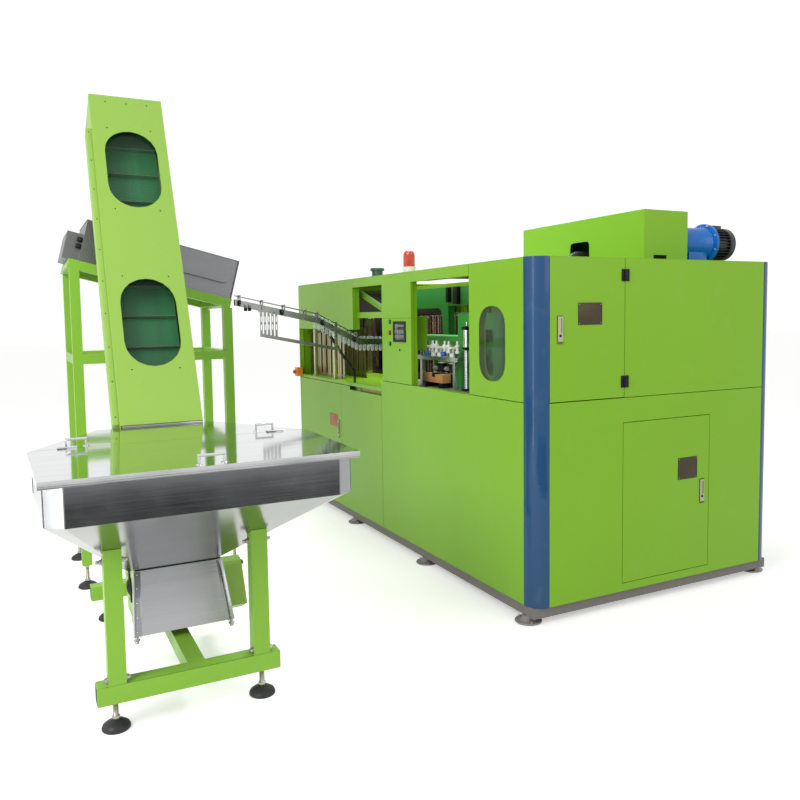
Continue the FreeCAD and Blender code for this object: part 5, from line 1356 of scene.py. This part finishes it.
@dataclass
class MouldingStation:
    """Grippers, air cylinder, guide beam, tan block, trunking and servo fittings behind the opening."""

    stations: tuple[float, ...] = (-1620.0, -1534.0, -1448.0, -1362.0, -1276.0, -1190.0)
    feeders: Pair = (-1491.0, -1255.0)
    gripper_y: float = 205.0
    cylinder: Pair = (-1062.0, 232.0)
    cylinder_foot: float = 1238.0
    beam_left: float = -2010.0
    servos: Pair = (-1520.0, -1360.0)
    ducts: tuple[Point, ...] = ((-1950, -1916, 1842), (-1842, -1776, 1826))

    def build(self) -> None:
        """Build what shows behind the middle opening."""
        self.grippers()
        self.air_cylinder()
        self.beam_and_block()
        self.trunking()
        self.servo_fittings()

    def grippers(self) -> None:
        """White turned gripper heads on their jaws, and two blue feeder cups in front of them."""
        heads, cups = Form("gripper_heads"), Form("feeder_cups")
        y = self.gripper_y
        profile = ((0, 1476), (15, 1476), (15, 1490), (9, 1494), (9, 1516), (17, 1519), (17, 1531),
                   (8, 1535), (8, 1552), (5, 1560), (0, 1560))
        for number, x in enumerate(self.stations):
            heads.box((x - 17, y - 34, 1507), (x + 17, y + 34, 1521), 2)
            heads.box((x - 22, y - 22, 1449), (x + 22, y - 8, 1476), 1.5)
            heads.lathe(profile, (x + 30, y - 6 + 18 * (number % 2), 0), steps=20)
        cup = ((0, 0), (13, 0), (17, 5), (19, 26), (19, 34), (15, 34), (14, 28), (0, 26))
        for x in self.feeders:
            cups.lathe(cup, (x, y - 46, 1454), steps=28)
            cups.box((x - 8, y - 40, 1458), (x + 8, y - 20, 1468), 1)
        heads.place(WHITE_PLASTIC, "screen_black")
        cups.place(BLUE_PLASTIC, "blue_enamel")

    def air_cylinder(self) -> None:
        """Bright air cylinder with black end caps on a ribbed stand."""
        (x, y), foot = self.cylinder, self.cylinder_foot
        barrel = Form("air_cylinder").lathe(
            [(0.0, foot), *ribbed(steps_between(foot, 1506, 11.0)[:-1], 17.0, 21.0, 4.0), (17, 1506),
             (9, 1508), (9, 1516), (25, 1518), (25, 1640), (0, 1640)], (x, y, 0), steps=28)
        barrel.bar((x, y, 1660), (x, y, 1690), 6, 16, 1).place(CHROME, "bright_steel")
        caps = Form("air_cylinder_caps")
        for half, low, high, edge in ((27, 1638, 1662, 3), (27, 1508, 1522, 3), (30, BED_TOP, 1240, 2)):
            caps.box((x - half, y - half, low), (x + half, y + half, high), edge)
        caps.place(BLACK_PLASTIC, "black_paint")

    def beam_and_block(self) -> None:
        """Green guide beam on two brackets, and a tan laminate block with a sunk middle on black feet."""
        beam = Form("guide_beam").prism(
            [(self.beam_left, y, z) for y, z in ((428, 1540), (470, 1540), (470, 1592), (440, 1592),
                                                 (428, 1582))], (515, 0, 0), 1.2)
        for x in (-1890.0, -1520.0):
            beam.box((x, 440, BED_TOP), (x + 10, 462, 1541), 1)
        beam.place(LEAF, "green_paint")
        block = Form("tan_block").prism(
            [(x, 170, z) for x, z in ((-1580, 1262), (-1290, 1262), (-1290, 1322), (-1396, 1322),
                                      (-1396, 1300), (-1452, 1300), (-1452, 1322), (-1580, 1322))],
            (0, 70, 0), 1.5)
        block.place(TAN_BLOCK, "machined_steel")
        feet = Form("tan_block_feet")
        for x in (-1560.0, -1350.0):
            feet.box((x, 176, BED_TOP), (x + 40, 234, 1263), 1.5)
        feet.box((-1448, 176, 1299), (-1400, 234, 1330), 2).place(BLACK_PLASTIC, "black_paint")

    def trunking(self) -> None:
        """Slotted black cable trunking that hangs from the portal."""
        trunk = Form("portal_trunking")
        for x0, x1, low in self.ducts:
            trunk.box((x0, 588, low), (x1, 619.6, 1962), 2)
            for z in steps_between(low + 12, 1950, 14):
                trunk.box((x0 - 1.2, 586.8, z), (x1 + 1.2, 619.6, z + 5), 0.4, 1)
        trunk.place(BLACK_PLASTIC, "black_paint")

    def servo_fittings(self) -> None:
        """Connector sockets and bright flanges of the servo motors."""
        flanges, sockets = Form("servo_flanges"), Form("servo_sockets")
        for x in self.servos:
            flanges.box((x - 46, 254, BED_TOP + 92), (x + 46, 346, BED_TOP + 102), 1.5)
            flanges.lathe(((0, 0), (30, 0), (30, 3), (0, 4)), (x, 300, BED_TOP + 165), steps=28)
            sockets.box((x - 14, 238, BED_TOP + 118), (x + 14, 262, BED_TOP + 146), 2)
            sockets.bar((x, 228, BED_TOP + 132), (x, 240, BED_TOP + 132), 9, 18, 1)
        flanges.place(ALUMINIUM, "machined_steel")
        sockets.place(GREY_PLASTIC, "black_paint")


# ---------------------------------------------------------------- studio
@dataclass
class Studio:
    """White floor, even light and the photograph's viewpoint."""

    place: Triple = (3.3447, -2.4995, 1.7322)
    yaw: float = 0.4646
    pitch: float = 0.0745
    roll: float = -0.0145
    focal_px: float = 764.4
    centre_px: Pair = (398.04, 374.01)
    frame_px: float = 800.0
    sensor: float = 36.0
    floor_reach: float = 60.0
    card: tuple[Triple, ...] = (
        (3000, -3600, 12), (6230, -3600, 12), (6230, 1500, 12), (3000, 1500, 12))
    lamps: tuple[tuple[str, Triple, Triple, Pair, float], ...] = (
        ("key_box", (3.4, -5.6, 4.6), (-0.6, -0.6, 1.7), (3.2, 3.2), 280.0),
        ("side_box", (5.4, 2.2, 3.4), (0.0, 1.0, 1.5), (3.0, 3.0), 42.0),
        ("strip_box", (3.7, -5.2, 1.5), (0.0, 0.0, 1.2), (0.35, 3.0), 26.0),
        ("well_box", (-0.9, 1.0, 4.2), (-0.9, 1.0, 1.6), (1.6, 1.6), 130.0))

    def build(self) -> None:
        """Make the floor, the dark card, the world, the lamps and the camera."""
        self.floor()
        self.dark_card()
        self.world()
        for lamp in self.lamps:
            self.lamp(*lamp)
        self.camera()
        bpy.context.scene.view_settings.view_transform = "Standard"

    def seen_directly(self, nodes: Nodes) -> Signal:
        """1 for what the camera sees directly, in a mirror or through a clear pane, and 0 elsewhere.

        Args:
            nodes: Node tree that asks.

        Returns:
            The signal.
        """
        paths = [nodes.node("ShaderNodeLightPath", output="Is %s Ray" % kind)
                 for kind in ("Camera", "Glossy", "Transmission")]
        return (paths[0] + paths[1] + paths[2]).capped(1.0)

    def sheet(self, name: str, corners: Iterable[Triple], shader: Shader) -> bpy.types.Object:
        """Flat sheet of the studio.

        Args:
            name: Name of the sheet.
            corners: Its four corners in order, in metres.
            shader: Its paint.

        Returns:
            The sheet.
        """
        data = bpy.data.meshes.new(name)
        data.from_pydata(list(corners), [], [range(4)])
        data.materials.append(shader.material)
        sheet = bpy.data.objects.new(name, data)
        bpy.context.scene.collection.objects.link(sheet)
        return sheet

    def floor(self) -> None:
        """Pale floor that turns white where the light is full and keeps the machine's soft shadow."""
        shader, reach = Shader("floor_paint"), self.floor_reach
        shader.set(Base_Color=shader.between(shader.noise(3.0, 3.0), linear("E6E6E4"), linear("EAEAE8")),
                   Roughness=0.9, Emission_Color=linear("FFFFFF"),
                   Emission_Strength=self.seen_directly(shader) * 0.45)
        corners = ((-reach, -reach, 0), (reach, -reach, 0), (reach, reach, 0), (-reach, reach, 0))
        self.sheet("floor", corners, shader)

    def dark_card(self) -> None:
        """Dark card on the floor that only mirrors see, for depth in the reflections of the bin's sheets."""
        shader = Shader("dark_card_paint")
        shader.set(Base_Color=shader.between(shader.noise(2.0), linear("1A1A1B"), linear("242425")),
                   Roughness=1.0)
        card = self.sheet("dark_card", [LAYOUT @ Vector(corner) for corner in self.card], shader)
        for rays in ("camera", "diffuse", "shadow", "transmission"):
            setattr(card, "visible_" + rays, False)

    def world(self) -> None:
        """White surroundings; they light the machine more softly than they look."""
        world = bpy.data.worlds.new("studio")
        bpy.context.scene.world = world
        world.use_nodes = True
        nodes = Nodes(world.node_tree)
        background = nodes.tree.nodes["Background"]
        background.inputs["Color"].default_value = (1.0, 1.0, 1.0, 1.0)
        connect(nodes.tree, background.inputs["Strength"], 0.60 + self.seen_directly(nodes) * 0.46)

    def lamp(self, name: str, spot: Triple, aim: Triple, size: Pair, power: float) -> None:
        """Soft box.

        Args:
            name: Name of the lamp.
            spot: Its place in metres.
            aim: Point that it is turned to.
            size: Its width and height.
            power: Its power in watts.
        """
        lamp = bpy.data.lights.new(name, "AREA")
        lamp.shape = "RECTANGLE"
        lamp.size, lamp.size_y = size
        lamp.energy = power
        holder = bpy.data.objects.new(name, lamp)
        holder.location = Vector(spot)
        holder.rotation_mode = "QUATERNION"
        holder.rotation_quaternion = (Vector(aim) - Vector(spot)).to_track_quat("-Z", "Y")
        bpy.context.scene.collection.objects.link(holder)

    def camera(self) -> None:
        """Camera at the photograph's viewpoint, with its small framing shift."""
        ahead = Vector((-math.cos(self.yaw) * math.cos(self.pitch),
                        math.sin(self.yaw) * math.cos(self.pitch), -math.sin(self.pitch)))
        right = ahead.cross(Vector(UP)).normalized()
        up = right.cross(ahead)
        c, s = math.cos(self.roll), math.sin(self.roll)
        right, up = c * right + s * up, c * up - s * right
        data = bpy.data.cameras.new("viewpoint")
        data.sensor_width = self.sensor
        data.lens = self.focal_px / self.frame_px * self.sensor
        data.shift_x = (self.frame_px / 2 - self.centre_px[0]) / self.frame_px
        data.shift_y = (self.centre_px[1] - self.frame_px / 2) / self.frame_px
        data.clip_end = 200.0
        camera = bpy.data.objects.new("viewpoint", data)
        turn = Matrix((right, up, -ahead)).transposed().to_4x4()
        camera.matrix_world = Matrix.Translation(LAYOUT.translation + Vector(self.place)) @ turn
        bpy.context.scene.collection.objects.link(camera)
        bpy.context.scene.camera = camera


# finish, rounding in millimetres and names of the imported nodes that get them
NODE_FINISHES: tuple[tuple[Finish, float, tuple[str, ...]], ...] = (
    (LIME, 1.5, ("front_lower_panels", "front_upper_panels", "control_fascia", "end_panels", "back_covers",
                 "roof", "roof_box", "end_upper_door", "end_lower_door", "front_door", "entry_deck",
                 "sliding_door", "main_frame")),
    (ELEVATOR_LIME_PAINTED_LIGHT, 1.5, ("elevator_casing", "elevator_cover", "elevator_drive")),
    (LIME_TUBE, 3.0, ("feeder_stand", "unscrambler_stand")),
    (LEAF, 2.0, ("blow_cylinders",)),
    (DARK_GREEN, 2.0, ("portal_frame", "fixed_platen", "moving_platen")),
    (BLUE, 0.0, ("corner_columns",)),
    (PLINTH, 2.0, ("base_frame",)),
    (BED_GREY, 1.5, ("machine_bed",)),
    (BLACK_PLASTIC, 1.0, ("operator_screen",)),
    (PANE, 0.0, ("window_panes", "sliding_door_pane")),
    (ORANGE, 1.5, ("emergency_box",)),
    (RED_CAP, 0.6, ("emergency_button", "halt_button")),
    (GREEN_CAP, 0.6, ("start_button", "reset_button")),
    (OVEN_STEEL, 2.0, ("oven",)),
    (RIB_STEEL, 1.0, ("entry_ribs",)),
    (ALUMINIUM, 0.8, ("gripper_rail", "blow_head")),
    (RAIL_STEEL, 0.8, ("feed_rail",)),
    (BLACK_PAINT, 1.0, ("drive_motors", "rail_struts")),
    (BIN_STEEL_PAINTED_DARK, 0.8, ("hopper_bin",)),
    (LID_STEEL, 0.6, ("hopper_rear_lid", "hopper_flap")),
    (BELT_GREEN, 0.8, ("elevator_belt",)),
    (APRON_STEEL, 0.8, ("boot_apron",)),
    (TROUGH_GREY, 1.0, ("unscrambler_trough",)),
    (LEVER_SILVER, 0.8, ("upper_lever", "lower_lever", "front_lever")),
    (MACHINED, 0.6, ("tail_drum", "head_drum", "roller_front", "roller_back")),
)

SUB_ASSEMBLIES = (LevellingFeet, StandFittings, BlankPlates, DoorFittings, OperatorPanel, RoofFittings,
                  CoverScrews, ElevatorFittings, HopperFittings, UnscramblerFittings, FeedRailFittings,
                  EntryFittings, MouldingStation)


def main() -> None:
    """Dress the nodes, add the pieces and set up the studio."""
    logging.basicConfig(level=logging.INFO, format="%(name)s %(message)s")
    for finish, edge, nodes in NODE_FINISHES:
        for node in nodes:
            dress(node, finish, edge)
    for sub_assembly in SUB_ASSEMBLIES:
        sub_assembly().build()
    Studio().build()


if __name__ == "__main__":
    main()
